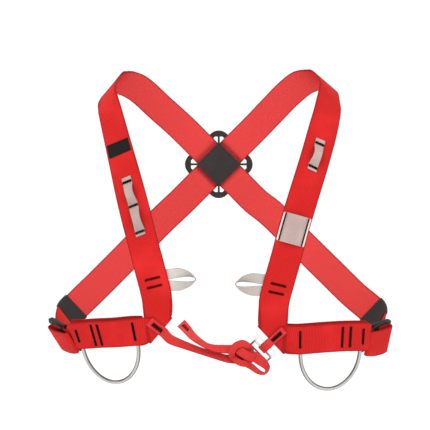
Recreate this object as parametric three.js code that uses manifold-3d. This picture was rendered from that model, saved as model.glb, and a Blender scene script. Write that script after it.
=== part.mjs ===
// Climbing chest harness, held up at the shoulders in the form that it has when worn.
// Millimetres, +Z up. The wearer's front faces -Y. The origin lies midway between the two
// shoulder tops, at the height where the straps rest.
import * as THREE from "three";
import { mergeVertices } from "three/addons/utils/BufferGeometryUtils.js";
import Module from "manifold-3d";

const wasm = await Module();
wasm.setup();

// Driving sizes of the whole harness
const CHEST_HALF_WIDTH = 250;
const CHEST_HALF_DEPTH = 100;
const FRONT_DROP = 410;

// Main webbing
const WEBBING_WIDTH = 45;
const WEBBING_THICKNESS = 2;
const LAYER_GAP = 0.6;
const SEAT_GAP = 0.3;
const TWIST_CLEARANCE = 0.5;

// Narrow tape of the loops and of the closing strap
const TAPE_WIDTH = 15;
const TAPE_THICKNESS = 1.5;
const GEAR_LOOP_RISE = 9;
const SIDE_LOOP_REACH = 40;
const SIDE_LOOP_SPLIT = 13;

// Side buckles: a frame with three bars
const BUCKLE_BAR = 4;
const BUCKLE_BEVEL = 0.9;
const BUCKLE_PITCH = 13;
const BUCKLE_RAIL = 3.5;
const BUCKLE_SIDE_CLEARANCE = 1;
const BAR_CLEARANCE = 0.35;
const TAIL_FOLD_RADIUS = 3.5;
const TAIL_OVERHANG = 6;
const TAIL_REACH = 22;
const TAIL_DROOP = 1;
const BAR_LEAD = 5;

// Steel rings on the chest bands
const RING_WIRE = 5.5;
const RING_CORNER = 9;
const RING_HANG = 60;

// Cross plate on the back
const PLATE_SIDE = 85;
const PLATE_CORNER = 18;
const PLATE_RIM = 8;
const PLATE_CENTRE = 48;
const PLATE_RIB = 3.2;
const PLATE_SLOT_CORNER = 3;
const PLATE_CORNER_PARTS = 6;
const PLATE_BEVEL = 1;
const PLATE_THICKNESS = 4;

// Keepers, label and strap sleeve
const KEEPER_LENGTH = 28;
const KEEPER_WALL = 1.3;
const LABEL_WIDTH = 36;
const LABEL_LENGTH = 19.5;
const LABEL_THICKNESS = 1;
const SLEEVE_WIDTH = 42;
const SLEEVE_LENGTH = 43;
const SLEEVE_WALL = 1.5;
const SLEEVE_CROWN = 4;

// Steel buckle of the closing strap
const CLASP_LENGTH = 38;
const CLASP_DEPTH = 22;
const CLASP_BAR = 3.2;
const CLASP_BEVEL = 0.7;

const HALF = 0.5;
const SIDES = { left: -1, right: 1 };
const vec = (x, y, z) => new THREE.Vector3(x, y, z);
const radians = THREE.MathUtils.degToRad;

// A row of a strap table is [across, depth, drop, lean, turn, spread]. across, depth and drop are
// shares of the half width, the half depth and the front drop, with across counted outward on the
// strap's own side. lean and turn, in degrees, set the direction of the webbing's width, and
// spread is the length of the section in widths, over 1 where it crosses the webbing askew.
const FRONT_TO_BACK = {
  left: [
    [0.365, -1.0, 0.815, 163, 0, 1.0],
    [0.395, -1.04, 0.74, 166, -2, 1.0],
    [0.445, -1.04, 0.625, 168, -3, 1.0],
    [0.505, -1.01, 0.481, 167, -6, 1.0],
    [0.556, -0.94, 0.358, 167, -22, 1.0],
    [0.602, -0.83, 0.25, 168, -31, 1.0],
    [0.642, -0.65, 0.158, 162, -38, 1.02],
    [0.664, -0.45, 0.11, 129, -30, 1.12],
    [0.652, -0.16, 0.065, 129, -12, 1.28],
    [0.622, 0.14, 0.042, 134, -6, 1.1],
    [0.566, 0.4, 0.038, 132, 0, 1.0],
    [0.49, 0.64, 0.057, 132, 0, 1.0],
    [0.357, 0.88, 0.128, 133, 0, 1.0],
    [0.237, 0.97, 0.198, 134, 0, 1.0],
    [0.135, 0.995, 0.261, 134, 0, 1.0],
    [0.002, 1.0, 0.337, 134, 0, 1.0],
    [-0.135, 0.99, 0.417, 134, 0, 1.0],
    [-0.317, 0.95, 0.519, 134, 0, 1.0],
    [-0.505, 0.85, 0.632, 134, 0, 1.0],
    [-0.683, 0.7, 0.74, 134, -4, 1.0],
    [-0.82, 0.53, 0.823, 133, -8, 1.0],
    [-0.925, 0.33, 0.89, 128, -16, 1.0],
  ],
  right: [
    [0.322, -1.0, 0.837, 166, 0, 1.0],
    [0.352, -1.04, 0.765, 166, -2, 1.0],
    [0.386, -1.04, 0.692, 165, -3, 1.0],
    [0.439, -1.04, 0.571, 164.5, -4, 1.0],
    [0.494, -1.01, 0.461, 164.5, -6, 1.0],
    [0.559, -0.94, 0.334, 163, -10, 1.0],
    [0.608, -0.83, 0.23, 166, -14, 1.0],
    [0.644, -0.65, 0.144, 163, -28, 1.02],
    [0.658, -0.45, 0.083, 137, -26, 1.05],
    [0.636, -0.16, 0.042, 140, -12, 1.12],
    [0.599, 0.14, 0.03, 140, -6, 1.05],
    [0.519, 0.4, 0.034, 138, 0, 1.0],
    [0.437, 0.64, 0.069, 136, 0, 1.0],
    [0.32, 0.88, 0.14, 135, 0, 1.0],
    [0.194, 0.97, 0.216, 135, 0, 1.0],
    [0.1, 0.995, 0.275, 135, 0, 1.0],
    [0.002, 1.0, 0.334, 135, 0, 1.0],
    [-0.12, 0.99, 0.405, 134, 0, 1.0],
    [-0.24, 0.98, 0.478, 134, 0, 1.0],
    [-0.364, 0.94, 0.555, 134, 0, 1.0],
    [-0.548, 0.85, 0.671, 135, 0, 1.0],
    [-0.729, 0.69, 0.783, 135, -4, 1.0],
    [-0.85, 0.5, 0.856, 134, -8, 1.0],
    [-0.92, 0.3, 0.9, 127, -16, 1.0],
  ],
};

// A row of a band table is [across, depth, drop, lean, turn], from the corner to the side, for the
// middle of the outer layer.
const BAND = {
  left: [
    [0.498, -0.886, 0.948, 80, -24],
    [0.61, -0.805, 0.955, 77, -25],
    [0.721, -0.725, 0.959, 76, -25],
    [0.825, -0.65, 0.964, 75, -25],
    [0.862, -0.57, 0.966, 71, -28],
  ],
  right: [
    [0.475, -0.898, 0.976, 90, -18],
    [0.621, -0.793, 0.971, 89, -19],
    [0.746, -0.703, 0.968, 88, -19],
    [0.85, -0.628, 0.968, 88, -19],
    [0.888, -0.545, 0.97, 85, -23],
  ],
};

// The lower corner, where a chest band folds into its front strap: across, depth and drop
const CORNER = {
  left: [0.359, -0.86, 0.94],
  right: [0.317, -0.86, 0.973],
};

// The side buckle: its centre as shares, then the directions of its length and its width, with
// x counted outward on its own side
const SIDE_BUCKLE = {
  left: { centre: [0.905, -0.27, 0.968], length: [0.625, 0.758, 0.184], width: [0.42, -0.52, 0.74] },
  right: { centre: [0.932, -0.24, 0.976], length: [0.741, 0.638, 0.206], width: [0.16, -0.45, 0.88] },
};

const FINISHES = {
  webbing: { color: 0xd02c2a, roughness: 0.8, metalness: 0 },
  tape: { color: 0xd8cabf, roughness: 0.85, metalness: 0 },
  black: { color: 0x2c2826, roughness: 0.7, metalness: 0 },
  plastic: { color: 0x3a322f, roughness: 0.5, metalness: 0 },
  steel: { color: 0xb9b3ad, roughness: 0.25, metalness: 1 },
};

const harness = new THREE.Group();

// Adds a named mesh to the harness
function addPiece(name, geometry, finish) {
  const mesh = new THREE.Mesh(geometry, new THREE.MeshStandardMaterial(FINISHES[finish]));
  mesh.name = name;
  harness.add(mesh);
}

// A closed solid through rings of points. caps lists the triangles of a ring's flat end; a ring
// that meets itself again has none. turned tells which quads are split along the other diagonal,
// so that the two faces of a twisted wall stay parallel.
function loft(rings, caps, turned = () => false) {
  const count = rings[0].length;
  const position = rings.flat().flatMap((point) => [point.x, point.y, point.z]);
  const index = [];
  const spans = caps ? rings.length - 1 : rings.length;
  for (let i = 0; i < spans; i += 1) {
    const here = i * count;
    const next = ((i + 1) % rings.length) * count;
    for (let k = 0; k < count; k += 1) {
      const l = (k + 1) % count;
      if (turned(i, k)) {
        index.push(here + k, here + l, next + k);
        index.push(here + l, next + l, next + k);
      } else {
        index.push(here + k, here + l, next + l);
        index.push(here + k, next + l, next + k);
      }
    }
  }
  if (caps) {
    const last = (rings.length - 1) * count;
    for (const [a, b, c] of caps) {
      index.push(a, c, b);
      index.push(last + a, last + b, last + c);
    }
  }
  const geometry = new THREE.BufferGeometry();
  geometry.setAttribute("position", new THREE.Float32BufferAttribute(position, 3));
  geometry.setIndex(index);
  return geometry;
}

// Gives each station its tangent t and its face normal n, from the line of the centres
function withNormals(stations) {
  return stations.map((station, i) => {
    const before = stations[Math.max(i - 1, 0)].p;
    const after = stations[Math.min(i + 1, stations.length - 1)].p;
    const t = station.t ?? vec(0, 0, 0).subVectors(after, before).normalize();
    const n = vec(0, 0, 0).crossVectors(t, station.w).normalize();
    return { p: station.p, w: station.w, t, n };
  });
}

// A point between two stations on a smooth curve through them and their neighbours
function between(values, knots, x) {
  const mix = (a, b, from, to) => a.clone().lerp(b, (x - from) / (to - from));
  const [a, b, c, d] = values;
  const [ka, kb, kc, kd] = knots;
  const ab = mix(a, b, ka, kb);
  const bc = mix(b, c, kb, kc);
  const cd = mix(c, d, kc, kd);
  return mix(mix(ab, bc, ka, kc), mix(bc, cd, kb, kd), kb, kc);
}

// Fills in the spans between stations: steps is the number of parts of the span after a station
function smooth(stations, defaultSteps) {
  const dense = [];
  for (let i = 0; i < stations.length - 1; i += 1) {
    const b = stations[i];
    const c = stations[i + 1];
    const mirrored = (from, to, key) => from[key].clone().multiplyScalar(2).sub(to[key]);
    const a = stations[i - 1] ?? { p: mirrored(b, c, "p"), w: mirrored(b, c, "w") };
    const d = stations[i + 2] ?? { p: mirrored(c, b, "p"), w: mirrored(c, b, "w") };
    const knots = [0];
    for (const [from, to] of [[a, b], [b, c], [c, d]]) {
      knots.push(knots.at(-1) + Math.sqrt(from.p.distanceTo(to.p)));
    }
    const steps = b.steps ?? defaultSteps;
    dense.push(b);
    for (let k = 1; k < steps; k += 1) {
      const x = knots[1] + ((knots[2] - knots[1]) * k) / steps;
      const p = between([a.p, b.p, c.p, d.p], knots, x);
      dense.push({ p, w: between([a.w, b.w, c.w, d.w], knots, x) });
    }
  }
  dense.push(stations.at(-1));
  return dense;
}

// The face of a four-cornered section that lies on the side of n
const TOP_FACE = 2;

// Webbing or tape of one thickness along stations whose w is half its width
function ribbon(stations, thickness) {
  const rings = stations.map(({ p, w, n }) =>
    [[-1, -1], [1, -1], [1, 1], [-1, 1]].map(([a, b]) =>
      p.clone().addScaledVector(w, a).addScaledVector(n, b * thickness * HALF)));
  return loft(rings, [[0, 1, 2], [0, 2, 3]], (_, k) => k === TOP_FACE);
}

// A profile, [across, off] in millimetres, carried along stations
function profiled(stations, profile) {
  const rings = stations.map(({ p, w, n }) => {
    const unit = w.clone().normalize();
    return profile.map(([a, b]) => p.clone().addScaledVector(unit, a).addScaledVector(n, b));
  });
  const outline = profile.map(([a, b]) => new THREE.Vector2(a, b));
  const turned = (_, k) => profile[(k + 1) % profile.length][0] < profile[k][0];
  return loft(rings, THREE.ShapeUtils.triangulateShape(outline, []), turned);
}

// A flat closed loop of elastic round webbing: outer and inner walls and two ring-shaped ends
function sleeveRound(stations, halfWidth, halfThickness, wall) {
  const corners = [[-1, -1], [1, -1], [1, 1], [-1, 1]];
  const path = [];
  for (const [grow, order] of [[wall, 1], [0, -1]]) {
    const run = order > 0 ? stations : [...stations].reverse();
    for (const { p, w, n } of run) {
      const unit = w.clone().normalize();
      path.push(corners.map(([a, b]) => p.clone()
        .addScaledVector(unit, a * (halfWidth + grow))
        .addScaledVector(n, b * (halfThickness + grow))));
    }
  }
  return loft(path, null, (i, k) => (k === TOP_FACE) !== (i >= stations.length));
}

// Round wire along points, closed on itself or with flat ends
function wire(points, reference, diameter, sides) {
  const radius = diameter * HALF;
  const rings = points.map((point, i) => {
    const before = points[(i + points.length - 1) % points.length];
    const after = points[(i + 1) % points.length];
    const t = vec(0, 0, 0).subVectors(after, before).normalize();
    const n = vec(0, 0, 0).crossVectors(t, reference).normalize();
    const w = vec(0, 0, 0).crossVectors(n, t).normalize();
    return Array.from({ length: sides }, (_, k) => {
      const angle = (2 * Math.PI * k) / sides;
      return point.clone()
        .addScaledVector(w, radius * Math.cos(angle))
        .addScaledVector(n, radius * Math.sin(angle));
    });
  });
  return loft(rings, null);
}

// A prism on an outline in the plane z = 0, with bevelled edges, thickness centred on the plane
function prism(outline, thickness, bevel) {
  const geometry = new THREE.ExtrudeGeometry(new THREE.Shape(outline), {
    depth: thickness - 2 * bevel,
    bevelEnabled: bevel > 0,
    bevelThickness: bevel,
    bevelSize: bevel,
    bevelOffset: -bevel,
    bevelSegments: 1,
    steps: 1,
    curveSegments: 1,
  });
  geometry.translate(0, 0, bevel - thickness * HALF);
  return merged(geometry);
}

// A flat plate with holes, set by its centre and the two directions of its plane
function plate(outline, holes, thickness, bevel, centre, axisX, axisY) {
  const blank = manifoldOf(prism(outline, thickness, bevel));
  const pierced = holes.reduce(
    (body, hole) => body.subtract(manifoldOf(prism(hole, 2 * thickness, 0))), blank,
  );
  const axisZ = vec(0, 0, 0).crossVectors(axisX, axisY).normalize();
  const frame = new THREE.Matrix4().makeBasis(axisX, axisY, axisZ).setPosition(centre);
  return geometryOf(pierced).applyMatrix4(frame);
}

// The corners of a rectangle in a plate's plane
function rectangle(x0, y0, x1, y1) {
  return [[x0, y0], [x1, y0], [x1, y1], [x0, y1]].map(([x, y]) => new THREE.Vector2(x, y));
}

// Shares the vertices that faces have in common
function merged(geometry) {
  geometry.deleteAttribute("normal");
  geometry.deleteAttribute("uv");
  return mergeVertices(geometry, 1e-4);
}

function manifoldOf(geometry) {
  return new wasm.Manifold(new wasm.Mesh({
    numProp: 3,
    vertProperties: new Float32Array(geometry.getAttribute("position").array),
    triVerts: new Uint32Array(geometry.getIndex().array),
  }));
}

function geometryOf(solid) {
  const mesh = solid.getMesh();
  const geometry = new THREE.BufferGeometry();
  geometry.setAttribute("position", new THREE.Float32BufferAttribute(mesh.vertProperties, 3));
  geometry.setIndex(Array.from(mesh.triVerts));
  return geometry;
}

// Joins solids that are sewn or tied into one
function joined(geometries) {
  const solids = geometries.map(manifoldOf);
  return geometryOf(solids.slice(1).reduce((sum, solid) => sum.add(solid), solids[0]));
}

// The place of a table's row on the left or the right side
function placed(sign, across, depth, drop) {
  return vec(sign * across * CHEST_HALF_WIDTH, depth * CHEST_HALF_DEPTH, -drop * FRONT_DROP);
}

// The half width vector of a row: lean in the front view, counted on the strap's own side
function widthVector(sign, lean, turn, width) {
  const flat = Math.cos(radians(turn)) * width * HALF;
  return vec(
    sign * flat * Math.cos(radians(lean)),
    Math.sin(radians(turn)) * width * HALF,
    flat * Math.sin(radians(lean)),
  );
}

// The frame of a side buckle: centre, length direction u, width direction w, outward direction o
function buckleFrame(side) {
  const sign = SIDES[side];
  const { centre, length, width } = SIDE_BUCKLE[side];
  const u = vec(sign * length[0], length[1], length[2]).normalize();
  const rough = vec(sign * width[0], width[1], width[2]);
  const w = rough.addScaledVector(u, -rough.dot(u)).normalize();
  const o = vec(0, 0, 0).crossVectors(u, w).multiplyScalar(sign);
  return { centre: placed(sign, ...centre), u, w, o };
}

// The stations of an arc round an axis along w, from direction a through direction b
function turnRound(centre, a, b, radius, w, parts) {
  return Array.from({ length: parts + 1 }, (_, i) => {
    const angle = (Math.PI * i) / parts;
    const p = centre.clone()
      .addScaledVector(a, radius * Math.cos(angle))
      .addScaledVector(b, radius * Math.sin(angle));
    const t = a.clone().multiplyScalar(-Math.sin(angle)).addScaledVector(b, Math.cos(angle));
    return { p, w: w.clone(), t, steps: i < parts ? 1 : undefined };
  });
}

const BAR_WRAP_RADIUS = BUCKLE_BAR * HALF * Math.SQRT2 + BAR_CLEARANCE + WEBBING_THICKNESS * HALF;
const SEWN_STEP = WEBBING_THICKNESS + LAYER_GAP;
const CHANNEL_CLEARANCE = 0.9;
const CHANNEL_STEP = WEBBING_THICKNESS + RING_WIRE + 2 * CHANNEL_CLEARANCE;
const STRAP_PARTS = 5;
const TWIST_PARTS = 20;
const TAPE_PARTS = 3;
const ARC_PARTS = 6;
const FOLD_PARTS = 4;

// The outer layer of a chest band from the side to the corner, with each row's outward normal
function bandStations(side) {
  const sign = SIDES[side];
  const rows = [...BAND[side]].reverse();
  const raw = rows.map(([across, depth, drop, lean, turn]) => ({
    p: placed(sign, across, depth, drop),
    w: widthVector(sign, lean, turn, WEBBING_WIDTH),
  }));
  return withNormals(raw).map(({ p, w, n }) => ({ p, w, out: n.clone().multiplyScalar(-sign) }));
}

// The lower corner's plane: centre, the strap's direction up, the band's direction outward, the
// half fold line from the outer bottom to the inner top, and the outward normal
function cornerFrame(side) {
  const sign = SIDES[side];
  const c = placed(sign, ...CORNER[side]);
  const [across, depth, drop] = FRONT_TO_BACK[side][0];
  const up = placed(sign, across, depth, drop).sub(c).normalize();
  const band = bandStations(side).at(-1).p.clone().sub(c).normalize();
  const out = vec(0, 0, 0).crossVectors(up, band).multiplyScalar(-sign).normalize();
  const fold = up.clone().sub(band).normalize();
  const away = up.clone().add(band).normalize().negate();
  const half = (WEBBING_WIDTH * HALF) / Math.sqrt(1 - fold.dot(up) ** 2);
  return { c, up, band, out, away, w: fold.multiplyScalar(half) };
}

// The whole route of one main strap: inner band layer, turn round the buckle's front bar, outer
// band layer, fold at the corner, front, shoulder, back, and the free end in the other buckle
function mainStrap(side, other) {
  const sign = SIDES[side];
  const band = bandStations(side);
  const corner = cornerFrame(side);
  const own = buckleFrame(side);
  const half = own.w.clone().multiplyScalar(WEBBING_WIDTH * HALF);
  const frontBar = own.centre.clone().addScaledVector(own.u, -BUCKLE_PITCH);

  const inner = [...band].reverse().map(({ p, w, out }) => (
    { p: p.clone().addScaledVector(out, -CHANNEL_STEP), w: w.clone(), steps: 3 }
  ));
  const end = corner.c.clone()
    .addScaledVector(corner.band, WEBBING_WIDTH * HALF)
    .addScaledVector(corner.out, -CHANNEL_STEP);
  const lead = (way) => ({
    p: frontBar.clone()
      .addScaledVector(own.u, -BAR_LEAD)
      .addScaledVector(own.o, way * (BAR_WRAP_RADIUS - BAR_CLEARANCE)),
    w: half.clone(),
    steps: way < 0 ? 1 : 3,
  });
  const loop = turnRound(frontBar, own.o.clone().negate(), own.u, BAR_WRAP_RADIUS, half, ARC_PARTS);
  loop.at(-1).steps = 1;
  const outer = band.map(({ p, w }) => ({ p: p.clone(), w: w.clone(), steps: 3 }));

  const foldRadius = SEWN_STEP * HALF;
  const foldCentre = corner.c.clone().addScaledVector(corner.out, -foldRadius);
  const fold = turnRound(
    foldCentre, corner.out.clone().negate(), corner.away, foldRadius, corner.w, FOLD_PARTS,
  );
  fold.at(-1).steps = 1;
  outer.at(-1).steps = 1;

  const rows = FRONT_TO_BACK[side];
  const run = rows.map(([across, depth, drop, lean, turn, spread], i) => ({
    p: placed(sign, across, depth, drop),
    w: widthVector(sign, lean, turn, WEBBING_WIDTH * spread),
    steps: i < rows.length - 2 ? STRAP_PARTS : TWIST_PARTS,
  }));
  return [
    { p: end, w: inner[0].w.clone(), steps: 2 },
    ...inner,
    lead(-1),
    ...loop,
    lead(1),
    ...outer,
    ...fold,
    ...run,
    ...freeEnd(other),
  ];
}

// The adjustable end in a side buckle: in under the rear bar, round the middle bar, back over the
// rear bar, and folded forward over the frame as a free tail
function freeEnd(side) {
  const { centre, u, w, o } = buckleFrame(side);
  const half = w.clone().multiplyScalar(WEBBING_WIDTH * HALF);
  const at = (along, off, droop = 0) => centre.clone()
    .addScaledVector(u, along)
    .addScaledVector(o, off)
    .addScaledVector(w, -droop);
  const inward = o.clone().negate();
  const forward = u.clone().negate();
  const rear = BUCKLE_PITCH + TAIL_OVERHANG;
  const low = BAR_WRAP_RADIUS;
  const high = low + 2 * TAIL_FOLD_RADIUS;
  const foldCentre = at(rear, low + TAIL_FOLD_RADIUS, TAIL_DROOP * HALF);
  return [
    { p: at(rear - WEBBING_THICKNESS, -low), w: half, steps: 2 },
    { p: at(BUCKLE_PITCH, -low), w: half, steps: 1 },
    ...turnRound(centre, inward, forward, BAR_WRAP_RADIUS, half, ARC_PARTS),
    { p: at(BUCKLE_PITCH, low), w: half, steps: 2 },
    ...turnRound(foldCentre, inward, u, TAIL_FOLD_RADIUS, half, ARC_PARTS),
    { p: at(BUCKLE_PITCH, high, TAIL_DROOP), w: half, steps: 2 },
    { p: at(-BUCKLE_PITCH, high, TAIL_DROOP), w: half, steps: 2 },
    { p: at(-TAIL_REACH, high, TAIL_DROOP), w: half },
  ];
}

// The cross plate stands where the two straps cross on the back
const CROSSING = placed(1, 0, 1, 0.337);
const RIM_INSIDE = PLATE_SIDE * HALF - PLATE_RIM;
const OVER_PLATE = PLATE_THICKNESS * HALF + SEAT_GAP + WEBBING_THICKNESS * HALF;
const SLOT_MARGIN = 2.2;
const FREE_SHARE = 0.95;
const FREE_OF_PLATE = PLATE_SIDE * FREE_SHARE;

// Takes a strap over the plate's rim, through a slot, behind the centre, and out the same way.
// slope is the strap's direction in the back plane, and behind its distance behind the centre.
function wovenThroughPlate(stations, slope, behind) {
  const profile = [
    [0, behind],
    [PLATE_CENTRE * HALF + SLOT_MARGIN, behind],
    [RIM_INSIDE - SLOT_MARGIN * HALF, -OVER_PLATE],
    [PLATE_SIDE * HALF + SEAT_GAP, -OVER_PLATE],
    [FREE_OF_PLATE, 0],
  ];
  const marks = [...profile].reverse().map(([d, off]) => [-d, off]).slice(0, -1).concat(profile);
  const across = vec(-slope.z, 0, slope.x);
  const reference = stations.find(({ p }) => p.distanceTo(CROSSING) < FREE_OF_PLATE);
  across.multiplyScalar(Math.sign(across.dot(reference.w)) * WEBBING_WIDTH * HALF);
  const route = marks.map(([distance, off]) => ({
    p: CROSSING.clone().addScaledVector(slope, distance).add(vec(0, off, 0)),
    w: across.clone(),
    steps: Math.abs(distance) < FREE_OF_PLATE ? 1 : 3,
  }));
  const clear = ({ p }) => p.y < 0 || p.distanceTo(CROSSING) > FREE_OF_PLATE + WEBBING_WIDTH * HALF;
  const first = stations.findIndex((station) => !clear(station));
  const last = stations.findLastIndex((station) => !clear(station));
  return [...stations.slice(0, first), ...route, ...stations.slice(last + 1)];
}

const straps = {};
const DIAGONAL = Math.SQRT1_2;
const WEAVE = {
  left: { other: "right", behind: OVER_PLATE },
  right: { other: "left", behind: OVER_PLATE + SEWN_STEP },
};
for (const [side, { other, behind }] of Object.entries(WEAVE)) {
  const slope = vec(-SIDES[side] * DIAGONAL, 0, -DIAGONAL);
  const route = wovenThroughPlate(mainStrap(side, other), slope, behind);
  straps[side] = withNormals(smooth(route, TAPE_PARTS));
  addPiece(`${side}_main_strap`, ribbon(straps[side], WEBBING_THICKNESS), "webbing");
}

// The length of a strap up to each of its stations
function lengthsOf(stations) {
  const lengths = [0];
  for (let i = 1; i < stations.length; i += 1) {
    lengths.push(lengths[i - 1] + stations[i].p.distanceTo(stations[i - 1].p));
  }
  return lengths;
}

// The length along a strap at which it passes nearest to a point
function lengthNear(stations, point) {
  const lengths = lengthsOf(stations);
  let best = 0;
  stations.forEach(({ p }, i) => {
    if (p.distanceTo(point) < stations[best].p.distanceTo(point)) best = i;
  });
  return lengths[best];
}

// The strap's frames from one length to another, with each of its own stations between, so that
// what lies on the strap follows it. n points away from the wearer.
function stretch(stations, from, to, sign) {
  const lengths = lengthsOf(stations);
  const own = lengths.filter((length) => length > from + 1 && length < to - 1);
  return [from, ...own, to].map((s) => {
    const i = Math.max(1, lengths.findIndex((length) => length >= s));
    const q = (s - lengths[i - 1]) / (lengths[i] - lengths[i - 1]);
    const mix = (key) => stations[i - 1][key].clone().lerp(stations[i][key], q);
    const n = mix("n").normalize().multiplyScalar(sign);
    return { p: mix("p"), w: mix("w").multiplyScalar(sign), t: mix("t").normalize(), n };
  });
}

// The strap's frames over a length, from one of its own stations to another
function wholeStretch(stations, from, length, sign) {
  const lengths = lengthsOf(stations);
  const nearest = (s) => lengths.reduce((a, b) => (Math.abs(b - s) < Math.abs(a - s) ? b : a));
  return stretch(stations, nearest(from), nearest(nearest(from) + length), sign);
}

// The strap's frame at one length
const frameAt = (stations, s, sign) => stretch(stations, s, s + 1, sign)[0];

// How far below the shoulder tops, as a share of the front drop, a strap still counts as shoulder
const SHOULDER_SHARE = 0.1;

// The length along a front strap at a share of the front drop, counted from the shoulder
function lengthAtDrop(side, drop) {
  const stations = straps[side];
  const lengths = lengthsOf(stations);
  const shoulder = stations.findIndex(({ p }) => p.y < 0 && p.z > -SHOULDER_SHARE * FRONT_DROP);
  for (let i = shoulder; i > 0; i -= 1) {
    if (-stations[i].p.z >= drop * FRONT_DROP) {
      const above = stations[i + 1].p.z;
      const q = (above + drop * FRONT_DROP) / (above - stations[i].p.z);
      return lengths[i + 1] + (lengths[i] - lengths[i + 1]) * q;
    }
  }
  return 0;
}

// Side buckles
for (const side of Object.keys(SIDES)) {
  const { centre, u, w } = buckleFrame(side);
  const halfBar = BUCKLE_BAR * HALF;
  const inside = WEBBING_WIDTH * HALF + BUCKLE_SIDE_CLEARANCE;
  const outside = inside + BUCKLE_RAIL;
  const end = BUCKLE_PITCH + halfBar;
  const slots = [-1, 1].map((way) => {
    const near = way * halfBar;
    const far = way * (BUCKLE_PITCH - halfBar);
    return rectangle(Math.min(near, far), -inside, Math.max(near, far), inside);
  });
  const outline = rectangle(-end, -outside, end, outside);
  const frame = plate(outline, slots, BUCKLE_BAR, BUCKLE_BEVEL, centre, u, w);
  addPiece(`${side}_side_buckle`, frame, "plastic");
}

// Keepers: elastic sleeves round the ends of the back straps
const KEEPERS = {
  left: { strap: "right", start: [0.862, 0.47, 0.866] },
  right: { strap: "left", start: [0.918, 0.35, 0.885] },
};
for (const [side, { strap, start }] of Object.entries(KEEPERS)) {
  const from = lengthNear(straps[strap], placed(SIDES[side], ...start));
  const frames = wholeStretch(straps[strap], from, KEEPER_LENGTH, SIDES[strap]);
  const halfWidth = WEBBING_WIDTH * HALF + TWIST_CLEARANCE;
  const halfThickness = WEBBING_THICKNESS * HALF + 2 * TWIST_CLEARANCE;
  addPiece(`${side}_keeper`, sleeveRound(frames, halfWidth, halfThickness, KEEPER_WALL), "black");
}

// Steel rings: a bar between the two layers of a band, and a rounded bow that hangs below it.
// from and to are the shares of the half width at which its legs stand, and swing, in degrees,
// turns the hanging bow outward.
const RING_LEGS = {
  left: { from: 0.49, to: 0.818, swing: 6 },
  right: { from: 0.482, to: 0.838, swing: 5 },
};
const RING_PARTS = 20;
const RING_SIDES = 8;
const RING_KNEE = [0, 1 / 3, 2 / 3, 1];
for (const side of Object.keys(SIDES)) {
  const sign = SIDES[side];
  const layer = bandStations(side);
  const onLayer = (share) => {
    const x = sign * share * CHEST_HALF_WIDTH;
    const line = layer.slice(1).map(({ p }) => p);
    const q = (x - line[0].x) / (line.at(-1).x - line[0].x);
    return line[0].clone().lerp(line.at(-1), q);
  };
  const { from, to, swing } = RING_LEGS[side];
  const inner = onLayer(from);
  const outer = onLayer(to);
  const half = inner.distanceTo(outer) * HALF;
  const along = vec(0, 0, 0).subVectors(outer, inner).normalize();
  const middle = layer[Math.floor(layer.length / 2)];
  const up = middle.w.clone().addScaledVector(along, -middle.w.dot(along)).normalize();
  const { out } = middle;
  const bar = inner.clone().lerp(outer, HALF).addScaledVector(out, -CHANNEL_STEP * HALF);
  const knee = half - RING_CORNER;
  const corner = (way, shares) => shares.map((share) => {
    const angle = (Math.PI / 2) * share;
    return [
      way * (knee + RING_CORNER * Math.sin(angle)),
      RING_CORNER * (Math.cos(angle) - 1),
    ];
  });
  const bow = Array.from({ length: RING_PARTS + 1 }, (_, k) => {
    const angle = (Math.PI * k) / RING_PARTS;
    return [half * Math.cos(angle), -WEBBING_WIDTH * HALF - RING_HANG * Math.sin(angle)];
  });
  const outline = [...corner(1, RING_KNEE), ...bow, ...corner(-1, [...RING_KNEE].reverse())];
  const turn = radians(swing);
  const level = along.clone().multiplyScalar(Math.cos(turn)).addScaledVector(up, Math.sin(turn));
  const upright = up.clone().multiplyScalar(Math.cos(turn)).addScaledVector(along, -Math.sin(turn));
  const points = outline.map(([a, b]) =>
    bar.clone().addScaledVector(level, a).addScaledVector(upright, b));
  addPiece(`${side}_ring`, wire(points, out, RING_WIRE, RING_SIDES), "steel");
}

// Cross plate: a rounded frame with four slots, four ribs and a square centre
{
  const half = PLATE_SIDE * HALF;
  const outline = [];
  for (const [quarter, sx, sy] of [[0, 1, 1], [1, -1, 1], [2, -1, -1], [3, 1, -1]]) {
    for (let k = 0; k <= PLATE_CORNER_PARTS; k += 1) {
      const angle = (Math.PI / 2) * (quarter + k / PLATE_CORNER_PARTS);
      outline.push(new THREE.Vector2(
        sx * (half - PLATE_CORNER) + PLATE_CORNER * Math.cos(angle),
        sy * (half - PLATE_CORNER) + PLATE_CORNER * Math.sin(angle),
      ));
    }
  }
  const core = PLATE_CENTRE * HALF;
  const root = core - PLATE_RIB * DIAGONAL;
  const knee = RIM_INSIDE - PLATE_SLOT_CORNER;
  const far = knee - PLATE_RIB * DIAGONAL;
  const side = [
    [core, -root], [knee, -far], [RIM_INSIDE, PLATE_SLOT_CORNER - far],
    [RIM_INSIDE, far - PLATE_SLOT_CORNER], [knee, far], [core, root],
  ];
  const slots = [0, 1, 2, 3].map((quarter) => side.map(([x, y]) =>
    new THREE.Vector2(x, y).rotateAround(new THREE.Vector2(), (quarter * Math.PI) / 2)));
  const axisX = vec(DIAGONAL, 0, -DIAGONAL);
  const axisY = vec(DIAGONAL, 0, DIAGONAL);
  const solid = plate(outline, slots, PLATE_THICKNESS, PLATE_BEVEL, CROSSING, axisX, axisY);
  addPiece("back_cross_plate", solid, "plastic");
}

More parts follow.
